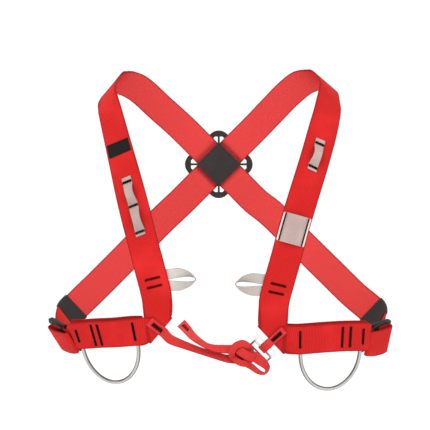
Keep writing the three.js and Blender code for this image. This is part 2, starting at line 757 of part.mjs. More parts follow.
// Label sewn across the left front strap, without lettering
const ON_STRAP = WEBBING_THICKNESS * HALF + SEAT_GAP;
const LABEL_DROP = 0.29;
{
  const middle = lengthAtDrop("left", LABEL_DROP);
  const start = middle - LABEL_LENGTH * HALF;
  const frames = wholeStretch(straps.left, start, LABEL_LENGTH, SIDES.left);
  const half = LABEL_WIDTH * HALF;
  const under = ON_STRAP + TWIST_CLEARANCE;
  const top = under + LABEL_THICKNESS;
  const profile = [[-half, under], [half, under], [half, top], [-half, top]];
  addPiece("blank_label", profiled(frames, profile), "black");
}

// Gear loops: a tape sewn down at its tacks, which stands off the strap between them
const GEAR_LOOPS = {
  left: [0.411, 0.496, 0.589],
  right: [0.276, 0.358],
};
const TACK_FLAT = 3.5;
const TACK_TOP = 7;
const TACK_END = 5.25;
const LOOP_PARTS = 8;
for (const [side, tacks] of Object.entries(GEAR_LOOPS)) {
  const places = tacks.map((drop) => lengthAtDrop(side, drop));
  const marks = [[places[0] + TACK_TOP, 0], [places[0] + TACK_FLAT, 0]];
  places.forEach((place, i) => {
    marks.push([place, 0]);
    const next = places[i + 1];
    if (next === undefined) return;
    const from = place - TACK_FLAT;
    const span = from - (next + TACK_FLAT);
    for (let k = 0; k <= LOOP_PARTS; k += 1) {
      const q = k / LOOP_PARTS;
      marks.push([from - span * q, GEAR_LOOP_RISE * Math.sin(Math.PI * q)]);
    }
  });
  marks.push([places.at(-1) - TACK_END, 0]);
  const stations = marks.map(([s, rise]) => {
    const { p, w, n } = frameAt(straps[side], s, SIDES[side]);
    const lift = ON_STRAP + TAPE_THICKNESS * HALF + TWIST_CLEARANCE + rise;
    return { p: p.addScaledVector(n, lift), w: w.setLength(TAPE_WIDTH * HALF) };
  });
  addPiece(`${side}_gear_loop`, ribbon(withNormals(stations), TAPE_THICKNESS), "tape");
}

// Sleeve on the right front strap: a crowned panel sewn down along both sides, open at its ends
const SLEEVE_DROP = 0.58;
const SLEEVE_PARTS = 8;
{
  const middle = lengthAtDrop("right", SLEEVE_DROP);
  const start = middle - SLEEVE_LENGTH * HALF;
  const frames = wholeStretch(straps.right, start, SLEEVE_LENGTH, SIDES.right);
  const half = SLEEVE_WIDTH * HALF;
  const free = half - TACK_FLAT;
  const arch = Array.from({ length: SLEEVE_PARTS + 1 }, (_, k) => {
    const a = free * ((2 * k) / SLEEVE_PARTS - 1);
    return [a, ON_STRAP + SLEEVE_CROWN * (1 - (a / free) ** 2)];
  });
  const under = [[-half, ON_STRAP], ...arch, [half, ON_STRAP]];
  const over = [...under].reverse().map(([a, b]) => [a, b + SLEEVE_WALL]);
  addPiece("strap_sleeve", profiled(frames, [...under, ...over]), "tape");
}

// Side loops: tape sewn behind the front straps. Rows are [reach, rise, twist], with reach in
// shares of the loop's reach past the strap's edge, and rise in shares of the split of its limbs.
const SIDE_LOOP = [
  [-0.45, 0.62, 0],
  [0.0, 0.64, 0],
  [0.45, 0.78, 22],
  [0.82, 0.56, 62],
  [1.0, 0.05, 88],
  [0.84, -0.4, 62],
  [0.45, -0.68, 22],
  [0.0, -0.64, 0],
  [-0.45, -0.62, 0],
];
const SIDE_LOOP_DROP = { left: 0.76, right: 0.778 };
for (const side of Object.keys(SIDES)) {
  const sign = SIDES[side];
  const { p, n } = frameAt(straps[side], lengthAtDrop(side, SIDE_LOOP_DROP[side]), sign);
  const behind = -ON_STRAP - TAPE_THICKNESS * HALF - 3 * TWIST_CLEARANCE;
  const root = p.clone().addScaledVector(n, behind);
  const flat = (direction) => direction.addScaledVector(n, -direction.dot(n)).normalize();
  const inward = flat(vec(-sign, 0, 0));
  const upward = flat(vec(0, 0, 1));
  const stations = SIDE_LOOP.map(([reach, rise, twist]) => ({
    p: root.clone()
      .addScaledVector(inward, WEBBING_WIDTH * HALF + reach * SIDE_LOOP_REACH)
      .addScaledVector(upward, rise * SIDE_LOOP_SPLIT),
    w: upward.clone().multiplyScalar(Math.cos(radians(twist)))
      .addScaledVector(n, Math.sin(radians(twist)))
      .setLength(TAPE_WIDTH * HALF),
  }));
  addPiece(`${side}_side_loop`, ribbon(withNormals(smooth(stations, TAPE_PARTS)), TAPE_THICKNESS), "tape");
}

// Closing strap: its rows are [across, depth, drop, lean, turn], with across counted to the right
const STANDING_RUN = [
  [-0.287, -0.95, 0.971, 60, 25],
  [-0.199, -0.97, 0.993, 64, 44],
  [-0.111, -0.98, 1.012, 68, 52],
  [-0.023, -0.99, 1.029, 74, 52],
  [0.052, -0.99, 1.041, 80, 44],
  [0.1, -0.98, 1.044, 84, 40],
];
const TAIL_RUN = [
  [-0.222, -1.02, 0.913, 42, 20],
  [-0.187, -1.02, 0.936, 42, 30],
  [-0.152, -1.02, 0.9605, 44, 44],
  [-0.111, -1.02, 0.98, 54, 55],
  [-0.07, -1.02, 0.9945, 64, 60],
  [-0.029, -1.02, 1.0027, 78, 50],
  [0.018, -1.02, 1.0057, 88, 40],
  [0.085, -1.01, 1.007, 92, 38],
];
const BIGHT_RUN = [
  [0.125, -1.0, 1.008, 66, 10],
  [0.158, -1.02, 1.0185, 62, 10],
  [0.205, -1.03, 1.033, 56, 15],
  [0.252, -1.03, 1.052, 50, 25],
  [0.283, -1.03, 1.075, 20, 60],
  [0.268, -1.03, 1.092, -60, 75],
  [0.234, -1.03, 1.088, -110, 62],
  [0.188, -1.03, 1.068, -124, 52],
  [0.135, -1.01, 1.05, -124, 45],
];
const KNOT = { centre: [0.118, -1.0, 1.025], wide: 11, deep: 7, high: 13 };
const KNOT_WRAPS = [
  { lean: 28, wide: 16, deep: 9.5, shift: 5 },
  { lean: -40, wide: 15, deep: 9, shift: -5 },
  { lean: 80, wide: 15.5, deep: 10.3, shift: 0 },
];
const KNOT_PARTS = 14;
const KNOT_ROUND = 12;
const KNOT_RINGS = 8;
const TAPE_WRAP_WIDTH = 11;

// Free tape through the rows of a run
function tapeRun(rows) {
  return rows.map(([across, depth, drop, lean, turn]) => ({
    p: placed(1, across, depth, drop),
    w: widthVector(1, lean, turn, TAPE_WIDTH),
  }));
}

// One wrap of the knot: a closed band round an oval
function knotWrap(centre, { lean, wide, deep, shift }) {
  const axis = vec(Math.cos(radians(lean)), 0, Math.sin(radians(lean)));
  const side = vec(-axis.z, 0, axis.x);
  const front = vec(0, -1, 0);
  const middle = centre.clone().addScaledVector(axis, shift);
  const rings = Array.from({ length: KNOT_PARTS }, (_, k) => {
    const angle = (2 * Math.PI * k) / KNOT_PARTS;
    const ray = side.clone().multiplyScalar(Math.cos(angle) * wide)
      .addScaledVector(front, Math.sin(angle) * deep);
    const outward = ray.clone().normalize();
    const half = TAPE_WRAP_WIDTH * HALF;
    return [[-1, -1], [1, -1], [1, 0], [-1, 0]].map(([a, b]) => middle.clone().add(ray)
      .addScaledVector(axis, a * half)
      .addScaledVector(outward, b * TAPE_THICKNESS * 2));
  });
  return loft(rings, null);
}

// Stations of tape sewn along a corner's diagonal, off millimetres above its surface
function onCorner(corner, distances, off) {
  const across = vec(0, 0, 0).crossVectors(corner.out, corner.away).setLength(TAPE_WIDTH * HALF);
  return distances.map((distance) => ({
    p: corner.c.clone().addScaledVector(corner.away, distance).addScaledVector(corner.out, off),
    w: across.clone(),
  }));
}

const TAB_SEWN = 22.5;
const TAPE_ON_CORNER = ON_STRAP + TAPE_THICKNESS * HALF + SEAT_GAP;
{
  const corner = cornerFrame("left");
  const sewn = onCorner(corner, [-TAB_SEWN, -TAB_SEWN * HALF, 0, SEWN_STEP * 2], TAPE_ON_CORNER);
  const run = tapeRun(STANDING_RUN);
  if (sewn[0].w.dot(run[0].w) < 0) sewn.forEach(({ w }) => w.negate());
  const tape = (stations) => ribbon(withNormals(smooth(stations, TAPE_PARTS)), TAPE_THICKNESS);
  const centre = placed(1, ...KNOT.centre);
  const core = merged(new THREE.SphereGeometry(1, KNOT_ROUND, KNOT_RINGS)
    .scale(KNOT.wide, KNOT.deep, KNOT.high)
    .translate(centre.x, centre.y, centre.z));
  const wraps = KNOT_WRAPS.map((wrap) => knotWrap(centre, wrap));
  const solids = [tape([...sewn, ...run]), tape(tapeRun(TAIL_RUN)), tape(tapeRun(BIGHT_RUN)), core];
  addPiece("closing_strap", joined([...solids, ...wraps]), "webbing");
}

// Steel clasp with three bars, and the tab that holds its middle bar to the right corner
const CLASP_HANG = 20;
const CLASP_OFF = 3.2;
{
  const corner = cornerFrame("right");
  const centre = corner.c.clone()
    .addScaledVector(corner.away, CLASP_HANG)
    .addScaledVector(corner.out, CLASP_OFF);
  const long = vec(0, 0, 0).crossVectors(corner.out, corner.away).normalize();
  const short = corner.away.clone();
  const halfLong = CLASP_LENGTH * HALF;
  const halfShort = CLASP_DEPTH * HALF;
  const halfBar = CLASP_BAR * HALF;
  const slots = [-1, 1].map((way) => {
    const near = way * halfBar;
    const far = way * (halfShort - CLASP_BAR);
    const inside = halfLong - CLASP_BAR;
    return rectangle(-inside, Math.min(near, far), inside, Math.max(near, far));
  });
  const outline = rectangle(-halfLong, -halfShort, halfLong, halfShort);
  const frame = plate(outline, slots, CLASP_BAR, CLASP_BEVEL, centre, long, short);
  addPiece("closing_clasp", frame, "steel");

  const wrap = halfBar * Math.SQRT2 + SEAT_GAP + TAPE_THICKNESS * HALF;
  const half = long.clone().multiplyScalar(TAPE_WIDTH * HALF);
  const turn = turnRound(centre, corner.out, short, wrap, half, ARC_PARTS);
  const beside = (way) => ({
    p: centre.clone().addScaledVector(short, -halfShort).addScaledVector(corner.out, way * wrap),
    w: half.clone(),
    steps: 2,
  });
  const under = TAPE_ON_CORNER;
  const upper = under + TAPE_THICKNESS + LAYER_GAP;
  const backLimb = onCorner(corner, [0, -TAB_SEWN], under);
  const frontLimb = onCorner(corner, [-TAB_SEWN, 0], upper);
  const route = [...frontLimb, beside(1), ...turn, beside(-1), ...backLimb];
  if (route[0].w.dot(half) < 0) {
    backLimb.forEach(({ w }) => w.negate());
    frontLimb.forEach(({ w }) => w.negate());
  }
  addPiece("closing_tab", ribbon(withNormals(smooth(route, 2)), TAPE_THICKNESS), "webbing");
}

export default harness;
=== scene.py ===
"""Looks of a worn climbing chest harness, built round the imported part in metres."""
import logging
import math
from dataclasses import dataclass, field
from enum import Enum
from typing import Callable, Iterable, Optional, Sequence

import bpy
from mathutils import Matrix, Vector


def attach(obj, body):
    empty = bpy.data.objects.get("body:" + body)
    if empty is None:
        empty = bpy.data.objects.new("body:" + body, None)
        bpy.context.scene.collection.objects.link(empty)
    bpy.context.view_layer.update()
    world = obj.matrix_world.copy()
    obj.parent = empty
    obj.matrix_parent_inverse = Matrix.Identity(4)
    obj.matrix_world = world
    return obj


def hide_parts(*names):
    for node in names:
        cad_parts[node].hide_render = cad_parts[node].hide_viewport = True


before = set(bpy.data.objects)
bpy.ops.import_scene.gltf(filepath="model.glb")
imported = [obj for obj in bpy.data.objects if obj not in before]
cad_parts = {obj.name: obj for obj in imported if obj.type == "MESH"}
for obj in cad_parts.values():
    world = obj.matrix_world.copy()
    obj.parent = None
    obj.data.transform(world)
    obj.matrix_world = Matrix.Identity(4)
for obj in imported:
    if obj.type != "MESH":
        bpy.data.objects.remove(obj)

LOG = logging.getLogger("harness")

Colour = tuple[float, float, float]

HALF = 0.5
SHORTEST_SPAN = 1e-5
SHORTEST_STEP = 1e-9

# Driving sizes of the harness
CHEST_HALF_WIDTH = 0.250
CHEST_HALF_DEPTH = 0.100
FRONT_DROP = 0.410
WEBBING_WIDTH = 0.045
WEBBING_THICKNESS = 0.002
LAYER_GAP = 0.0006
TAPE_WIDTH = 0.015
TAPE_THICKNESS = 0.0015
TAPE_RIM = 0.0073
GEAR_LOOP_RISE = 0.009
SIDE_LOOP_REACH = 0.040
SIDE_LOOP_SPLIT = 0.013
BUCKLE_BAR = 0.004
BUCKLE_PITCH = 0.013
BAR_CLEARANCE = 0.00035
BAR_LEAD = 0.005
TAIL_FOLD_RADIUS = 0.0035
TAIL_OVERHANG = 0.006
TAIL_REACH = 0.022
TAIL_DROOP = 0.001
RING_WIRE = 0.0055
RING_SHOWN = 0.0059
RING_CORNER = 0.009
PLATE_SIDE = 0.085
PLATE_RIM = 0.008
PLATE_CENTRE = 0.048
PLATE_THICKNESS = 0.004
KEEPER_WALL = 0.0013
LABEL_WIDTH = 0.0385
SLANT = 0.15
LABEL_LENGTH = 0.0195
SLEEVE_WIDTH = 0.042
SLEEVE_LENGTH = 0.043
SLEEVE_CROWN = 0.004
SLEEVE_RIM = 0.0074
CHANNEL_GAP = 0.0009
SEWN_GAP = 0.0002
PLATE_GAP = 0.0003
STITCH_RISE = 0.0003
CHANNEL_STEP = WEBBING_THICKNESS + RING_WIRE + 2 * CHANNEL_GAP
SEWN_STEP = WEBBING_THICKNESS + LAYER_GAP
BAR_WRAP_RADIUS = BUCKLE_BAR * HALF * math.sqrt(2) + BAR_CLEARANCE + WEBBING_THICKNESS * HALF
ON_WEBBING = WEBBING_THICKNESS * HALF + SEWN_GAP
IN_PLATE = PLATE_THICKNESS * HALF + PLATE_GAP + WEBBING_THICKNESS * HALF

# Where the front of a strap ends and its shoulder begins, as a share of the front drop
SHOULDER_SHARE = 0.1
# Columns of flat webbing: share of the half width and share of the half thickness
WEBBING_COLUMNS = (
    (-1.0, 0.45), (-0.965, 0.85), (-0.9, 1.0), (-0.6, 1.0), (-0.3, 1.0), (0.0, 1.0),
    (0.3, 1.0), (0.6, 1.0), (0.9, 1.0), (0.965, 0.85), (1.0, 0.45),
)
# The direction from which a tube's corners are counted, and what stands in for it
TUBE_START = Vector((0.3, 0.2, 0.93))
TUBE_SPARE = Vector((1.0, 0.0, 0.0))
TUBE_NEARLY_ALONG = 0.05
# Faces that meet at fewer degrees than this are shaded as one
SMOOTH_BELOW = 40.0
# Between these depths a main strap's reverse face begins to show its paler weave
BACK_SHOWS = (-0.01, 0.05)


class Side(Enum):
    """The two sides of the harness as seen from its front."""

    LEFT = -1
    RIGHT = 1

    @property
    def other(self) -> "Side":
        """The opposite side."""
        return Side.RIGHT if self is Side.LEFT else Side.LEFT

    @property
    def label(self) -> str:
        """The side's name in piece names."""
        return self.name.lower()


# Rows: across, depth and drop as shares, the lean and turn of the width, and its spread
FRONT_TO_BACK = {
    Side.LEFT: (
        (0.365, -1.0, 0.815, 163, 0, 1.0),
        (0.395, -1.04, 0.74, 166, -2, 1.0),
        (0.445, -1.04, 0.625, 168, -3, 1.0),
        (0.505, -1.01, 0.481, 167, -6, 1.0),
        (0.556, -0.94, 0.358, 167, -22, 1.0),
        (0.602, -0.83, 0.25, 168, -31, 1.0),
        (0.642, -0.65, 0.158, 162, -38, 1.02),
        (0.664, -0.45, 0.11, 129, -30, 1.12),
        (0.652, -0.16, 0.065, 129, -12, 1.28),
        (0.622, 0.14, 0.042, 134, -6, 1.1),
        (0.566, 0.4, 0.038, 132, 0, 1.0),
        (0.49, 0.64, 0.057, 132, 0, 1.0),
        (0.357, 0.88, 0.128, 133, 0, 1.0),
        (0.237, 0.97, 0.198, 134, 0, 1.0),
        (0.135, 0.995, 0.261, 134, 0, 1.0),
        (0.002, 1.0, 0.337, 134, 0, 1.0),
        (-0.135, 0.99, 0.417, 134, 0, 1.0),
        (-0.317, 0.95, 0.519, 134, 0, 1.0),
        (-0.505, 0.85, 0.632, 134, 0, 1.0),
        (-0.683, 0.7, 0.74, 134, -4, 1.0),
        (-0.82, 0.53, 0.823, 133, -8, 1.0),
        (-0.95, 0.31, 0.896, 130, -14, 1.0),
    ),
    Side.RIGHT: (
        (0.322, -1.0, 0.837, 166, 0, 1.0),
        (0.352, -1.04, 0.765, 166, -2, 1.0),
        (0.386, -1.04, 0.692, 165, -3, 1.0),
        (0.439, -1.04, 0.571, 164.5, -4, 1.0),
        (0.494, -1.01, 0.461, 164.5, -6, 1.0),
        (0.559, -0.94, 0.334, 163, -10, 1.0),
        (0.608, -0.83, 0.23, 166, -14, 1.0),
        (0.644, -0.65, 0.144, 163, -28, 1.02),
        (0.658, -0.45, 0.083, 137, -26, 1.05),
        (0.636, -0.16, 0.042, 140, -12, 1.12),
        (0.599, 0.14, 0.03, 140, -6, 1.05),
        (0.519, 0.4, 0.034, 138, 0, 1.0),
        (0.437, 0.64, 0.069, 136, 0, 1.0),
        (0.32, 0.88, 0.14, 135, 0, 1.0),
        (0.194, 0.97, 0.216, 135, 0, 1.0),
        (0.1, 0.995, 0.275, 135, 0, 1.0),
        (0.002, 1.0, 0.334, 135, 0, 1.0),
        (-0.12, 0.99, 0.405, 134, 0, 1.0),
        (-0.24, 0.98, 0.478, 134, 0, 1.0),
        (-0.364, 0.94, 0.555, 134, 0, 1.0),
        (-0.548, 0.85, 0.671, 135, 0, 1.0),
        (-0.729, 0.69, 0.783, 135, -4, 1.0),
        (-0.85, 0.5, 0.856, 134, -8, 1.0),
        (-0.92, 0.3, 0.9, 127, -16, 1.0),
    ),
}

# Rows of the outer band layer: across, depth, drop, lean, turn
BAND = {
    Side.LEFT: (
        (0.498, -0.886, 0.948, 80, -24),
        (0.61, -0.805, 0.955, 77, -25),
        (0.721, -0.725, 0.959, 76, -25),
        (0.825, -0.65, 0.964, 75, -25),
        (0.862, -0.57, 0.966, 71, -28),
    ),
    Side.RIGHT: (
        (0.475, -0.898, 0.976, 90, -18),
        (0.621, -0.793, 0.971, 89, -19),
        (0.746, -0.703, 0.968, 88, -19),
        (0.85, -0.628, 0.968, 88, -19),
        (0.888, -0.545, 0.97, 85, -23),
    ),
}
CORNER = {Side.LEFT: (0.359, -0.86, 0.94), Side.RIGHT: (0.317, -0.86, 0.973)}
SIDE_BUCKLE = {
    Side.LEFT: ((0.905, -0.27, 0.968), (0.625, 0.758, 0.184), (0.42, -0.52, 0.74)),
    Side.RIGHT: ((0.932, -0.24, 0.976), (0.741, 0.638, 0.206), (0.16, -0.45, 0.88)),
}
# How far each soft corner is drawn inward, as a share of the half width
CORNER_DRAWN = {Side.LEFT: 0.018, Side.RIGHT: 0.012}
# How the corner's fold is rounded: its share of the pointed length, and shares before it
CORNER_SHARE = {Side.LEFT: 0.81, Side.RIGHT: 0.93}
CORNER_SHIFT = {Side.LEFT: 0.03, Side.RIGHT: 0.03}
CORNER_ROUND = {
    Side.LEFT: ((0.3, 1.0), (0.5, 0.99), (0.68, 0.965), (0.82, 0.925), (0.93, 0.87)),
    Side.RIGHT: ((0.3, 1.0), (0.5, 1.0), (0.68, 0.993), (0.82, 0.98), (0.93, 0.96)),
}
# The legs' shares of the half width, and the outward swing of the bow in degrees
RING_LEGS = {Side.LEFT: (0.49, 0.818, 6), Side.RIGHT: (0.482, 0.838, 5)}
RING_HANG = {Side.LEFT: 0.0635, Side.RIGHT: 0.060}
KEEPER_SPAN = {Side.LEFT: (0.0025, 0.030), Side.RIGHT: (-0.002, 0.036)}
KEEPER_START = {Side.LEFT: (0.862, 0.47, 0.866), Side.RIGHT: (0.918, 0.35, 0.885)}
GEAR_LOOPS = {Side.LEFT: (0.411, 0.496, 0.589), Side.RIGHT: (0.276, 0.358)}
SIDE_LOOP_DROP = {Side.LEFT: 0.76, Side.RIGHT: 0.778}
# Rows: reach past the webbing's edge, rise between the limbs, twist in degrees
SIDE_LOOP = (
    (-0.45, 0.62, 0), (0.0, 0.64, 0), (0.45, 0.78, 22), (0.82, 0.56, 62), (1.0, 0.05, 88),
    (0.84, -0.4, 62), (0.45, -0.68, 22), (0.0, -0.64, 0), (-0.45, -0.62, 0),
)
# Drops of the sewn marks on the front straps, and places of those on the bands
STRAP_TACKS = {Side.LEFT: (0.755, 0.783), Side.RIGHT: (0.777, 0.806)}
# Rows: share of the half width, low and high end as shares of the webbing's half width
BAND_TACKS = {
    Side.LEFT: ((0.5, -0.6, 0.75), (0.7, -0.8, 0.8), (0.737, -0.8, 0.8), (0.832, -0.45, 0.5)),
    Side.RIGHT: ((0.478, -0.55, 0.65), (0.73, -0.7, 0.75), (0.773, -0.7, 0.75), (0.848, -0.5, 0.6)),
}
# Rows of the closing strap: across, depth, drop, lean, turn
STANDING_RUN = (
    (-0.287, -0.95, 0.971, 60, 25), (-0.199, -0.97, 0.993, 64, 44), (-0.111, -0.98, 1.012, 68, 52),
    (-0.023, -0.99, 1.029, 74, 52), (0.052, -0.99, 1.041, 80, 44), (0.1, -0.98, 1.044, 84, 40),
)
TAIL_RUN = (
    (-0.222, -1.02, 0.913, 42, 20), (-0.187, -1.02, 0.936, 42, 30), (-0.152, -1.02, 0.9605, 44, 44),
    (-0.111, -1.02, 0.98, 54, 55), (-0.07, -1.02, 0.9945, 64, 60), (-0.029, -1.02, 1.0027, 78, 50),
    (0.018, -1.02, 1.0057, 88, 40), (0.085, -1.01, 1.007, 92, 38),
)
BIGHT_RUN = (
    (0.125, -1.0, 1.008, 66, 10), (0.158, -1.02, 1.0185, 62, 10), (0.205, -1.03, 1.033, 56, 15),
    (0.252, -1.03, 1.052, 50, 25), (0.283, -1.03, 1.075, 20, 60), (0.268, -1.03, 1.092, -60, 75),
    (0.234, -1.03, 1.088, -110, 62), (0.188, -1.03, 1.068, -124, 52), (0.135, -1.01, 1.05, -124, 45),
)
# The knot's middle and the half sizes of its dark core, which is painted shadow.
KNOT_CENTRE = (0.120, -1.0, 1.030)
KNOT_CORE = (0.0085, 0.0062, 0.0090)
# The knot's wraps: half the gathered width, then rows of across, depth and drop
KNOT_WRAPS = (
    (0.0052, (
        (0.094, -0.98, 1.045), (0.076, -1.05, 1.03), (0.077, -1.10, 1.01), (0.100, -1.12, 0.992),
        (0.138, -1.11, 0.9845), (0.172, -1.08, 0.9965), (0.186, -0.97, 1.018),
    )),
    (0.0046, (
        (0.073, -0.97, 1.018), (0.084, -1.03, 1.037), (0.106, -1.10, 1.048), (0.137, -1.12, 1.056),
        (0.165, -1.08, 1.056), (0.180, -0.97, 1.045),
    )),
    (0.0066, (
        (0.106, -0.98, 0.999), (0.116, -1.09, 1.008), (0.142, -1.11, 1.0195), (0.172, -1.09, 1.030),
        (0.205, -1.05, 1.039),
    )),
)
# Where the straps cross on the back: across, depth, drop, and the reach of the woven stretch
PLATE_CROSSING = (0, 1, 0.337)
PLATE_REACH = PLATE_SIDE * 0.95
SLOT_MARGIN = 0.0022
# Rows of a free tail over its buckle: along, rise over the roll, droop, width and steps
TAIL_END = (
    (BUCKLE_PITCH, 0.0008, 2, 1.03, 3),
    (-BUCKLE_PITCH * HALF, 0.0012, 1, 1.0, 3),
    (-TAIL_REACH + 0.002, 0.0004, -1, 0.95, 2),
    (-TAIL_REACH - 0.002, -0.0012, -1, 0.92, 2),
    (-TAIL_REACH - 0.0036, -0.004, -1, 0.86, None),
)
# The ends of the side buckles' upper rails in metres
BUCKLE_RAIL = {
    Side.LEFT: ((-0.2530, -0.018, -0.3735), (-0.2270, -0.044, -0.3905)),
    Side.RIGHT: ((0.2245, -0.044, -0.3885), (0.2560, -0.016, -0.3765)),
}


@dataclass
class Station:
    """A place on the line of a strap, before smoothing."""

    p: Vector
    w: Vector
    t: Optional[Vector] = None
    steps: Optional[int] = None


@dataclass
class Place:
    """A place on a smoothed strap: centre, half width, tangent, face normal and length so far."""

    p: Vector
    w: Vector
    t: Vector
    n: Vector
    s: float

    def point(self, across: float, off: float) -> Vector:
        """A point of the strap.

        Args:
            across: share of the half width, from -1 to 1.
            off: metres along the face normal from the strap's middle.

        Returns:
            The point in the row frame.
        """
        return self.p + self.w * across + self.n * off


def slanted(place: Place, slant: float) -> Place:
    """A place whose width is turned in the strap's own face.

    Args:
        place: a place on a strap.
        slant: how far the width's end moves along the strap, as a share of the half width.

    Returns:
        The turned place.
    """
    return Place(place.p, place.w + place.t * (slant * place.w.length), place.t, place.n, place.s)


def placed(sign: int, across: float, depth: float, drop: float) -> Vector:
    """Turns a table's shares into a point.

    Args:
        sign: -1 for the left side and 1 for the right.
        across: share of the half width, outward.
        depth: share of the half depth.
        drop: share of the front drop.

    Returns:
        The point in metres.
    """
    return Vector((sign * across * CHEST_HALF_WIDTH, depth * CHEST_HALF_DEPTH, -drop * FRONT_DROP))


def width_vector(sign: int, lean: float, turn: float, width: float) -> Vector:
    """The half width of a row.

    Args:
        sign: -1 for the left side and 1 for the right.
        lean: its angle in the front view, in degrees.
        turn: its angle out of the front view, in degrees.
        width: the full width in metres.

    Returns:
        The vector from the middle to one edge.
    """
    flat = math.cos(math.radians(turn)) * width * HALF
    return Vector((
        sign * flat * math.cos(math.radians(lean)),
        math.sin(math.radians(turn)) * width * HALF,
        flat * math.sin(math.radians(lean)),
    ))


def smooth(stations: Sequence[Station], default_steps: int, factor: int = 1) -> list[Station]:
    """Fills in the spans between stations with a smooth curve through them.

    Args:
        stations: the given stations.
        default_steps: parts of a span that names none.
        factor: how many times finer each span is cut.

    Returns:
        The stations with the new ones between.
    """
    dense: list[Station] = []
    for i in range(len(stations) - 1):
        b, c = stations[i], stations[i + 1]
        a = stations[i - 1] if i else Station(b.p * 2 - c.p, b.w * 2 - c.w)
        d = stations[i + 2] if i + 2 < len(stations) else Station(c.p * 2 - b.p, c.w * 2 - b.w)
        knots = [0.0]
        for left, right in ((a, b), (b, c), (c, d)):
            knots.append(knots[-1] + max(math.sqrt((right.p - left.p).length), SHORTEST_SPAN))

        def value(key: str, x: float) -> Vector:
            """The curve's value at a place between the stations.

            Args:
                key: the station's field, p or w.
                x: the place, counted in knots.

            Returns:
                The field's value there.
            """
            k, v = knots, [getattr(station, key) for station in (a, b, c, d)]
            ab = v[0].lerp(v[1], (x - k[0]) / (k[1] - k[0]))
            bc = v[1].lerp(v[2], (x - k[1]) / (k[2] - k[1]))
            cd = v[2].lerp(v[3], (x - k[2]) / (k[3] - k[2]))
            low = ab.lerp(bc, (x - k[0]) / (k[2] - k[0]))
            high = bc.lerp(cd, (x - k[1]) / (k[3] - k[1]))
            return low.lerp(high, (x - k[1]) / (k[2] - k[1]))

        steps = (b.steps or default_steps) * factor
        dense.append(b)
        for j in range(1, steps):
            x = knots[1] + (knots[2] - knots[1]) * j / steps
            dense.append(Station(value("p", x), value("w", x)))
    dense.append(stations[-1])
    return dense


class Route:
    """The smoothed line of a strap or tape."""

    def __init__(self, stations: Sequence[Station]) -> None:
        """Works out each place's tangent, normal and length.

        Args:
            stations: the smoothed stations.
        """
        self.places: list[Place] = []
        length = 0.0
        for i, station in enumerate(stations):
            before = stations[max(i - 1, 0)].p
            after = stations[min(i + 1, len(stations) - 1)].p
            t = station.t or (after - before).normalized()
            if i:
                length += (station.p - before).length
            n = t.cross(station.w).normalized()
            self.places.append(Place(station.p, station.w, t, n, length))

    @property
    def length(self) -> float:
        """The whole length in metres."""
        return self.places[-1].s

    def at(self, s: float, sign: int = 1) -> Place:
        """The place at a length.

        Args:
            s: metres from the start.
            sign: -1 turns the width and the normal round.

        Returns:
            The place there.
        """
        s = min(max(s, 0.0), self.length)
        i = next((k for k, place in enumerate(self.places) if place.s >= s), len(self.places) - 1)
        i = max(i, 1)
        a, b = self.places[i - 1], self.places[i]
        q = (s - a.s) / max(b.s - a.s, SHORTEST_STEP)
        return Place(
            a.p.lerp(b.p, q), a.w.lerp(b.w, q) * sign, a.t.lerp(b.t, q).normalized(),
            a.n.lerp(b.n, q).normalized() * sign, s,
        )

    def stretch(self, start: float, end: float, parts: int, sign: int = 1) -> list[Place]:
        """Evenly spaced places over a length.

        Args:
            start: first length in metres.
            end: last length in metres.
            parts: how many parts.
            sign: -1 turns the width and the normal round.

        Returns:
            The places, one more than parts.
        """
        return [self.at(start + (end - start) * k / parts, sign) for k in range(parts + 1)]

    def nearest(self, point: Vector) -> float:
        """The length at which the route passes nearest to a point.

        Args:
            point: a point in the row frame.

        Returns:
            The length in metres.
        """
        return min(self.places, key=lambda place: (place.p - point).length).s

    def at_drop(self, drop: float) -> float:
        """The length at a share of the front drop on the front of a main strap.

        Args:
            drop: the share, counted down from the shoulder.

        Returns:
            The length in metres.
        """
        z = -drop * FRONT_DROP
        top = -SHOULDER_SHARE * FRONT_DROP
        shoulder = next(i for i, place in enumerate(self.places) if place.p.y < 0 and place.p.z > top)
        for i in range(shoulder, 0, -1):
            low, high = self.places[i], self.places[i + 1]
            if low.p.z <= z:
                q = (high.p.z - z) / (high.p.z - low.p.z)
                return high.s + (low.s - high.s) * q
        return 0.0


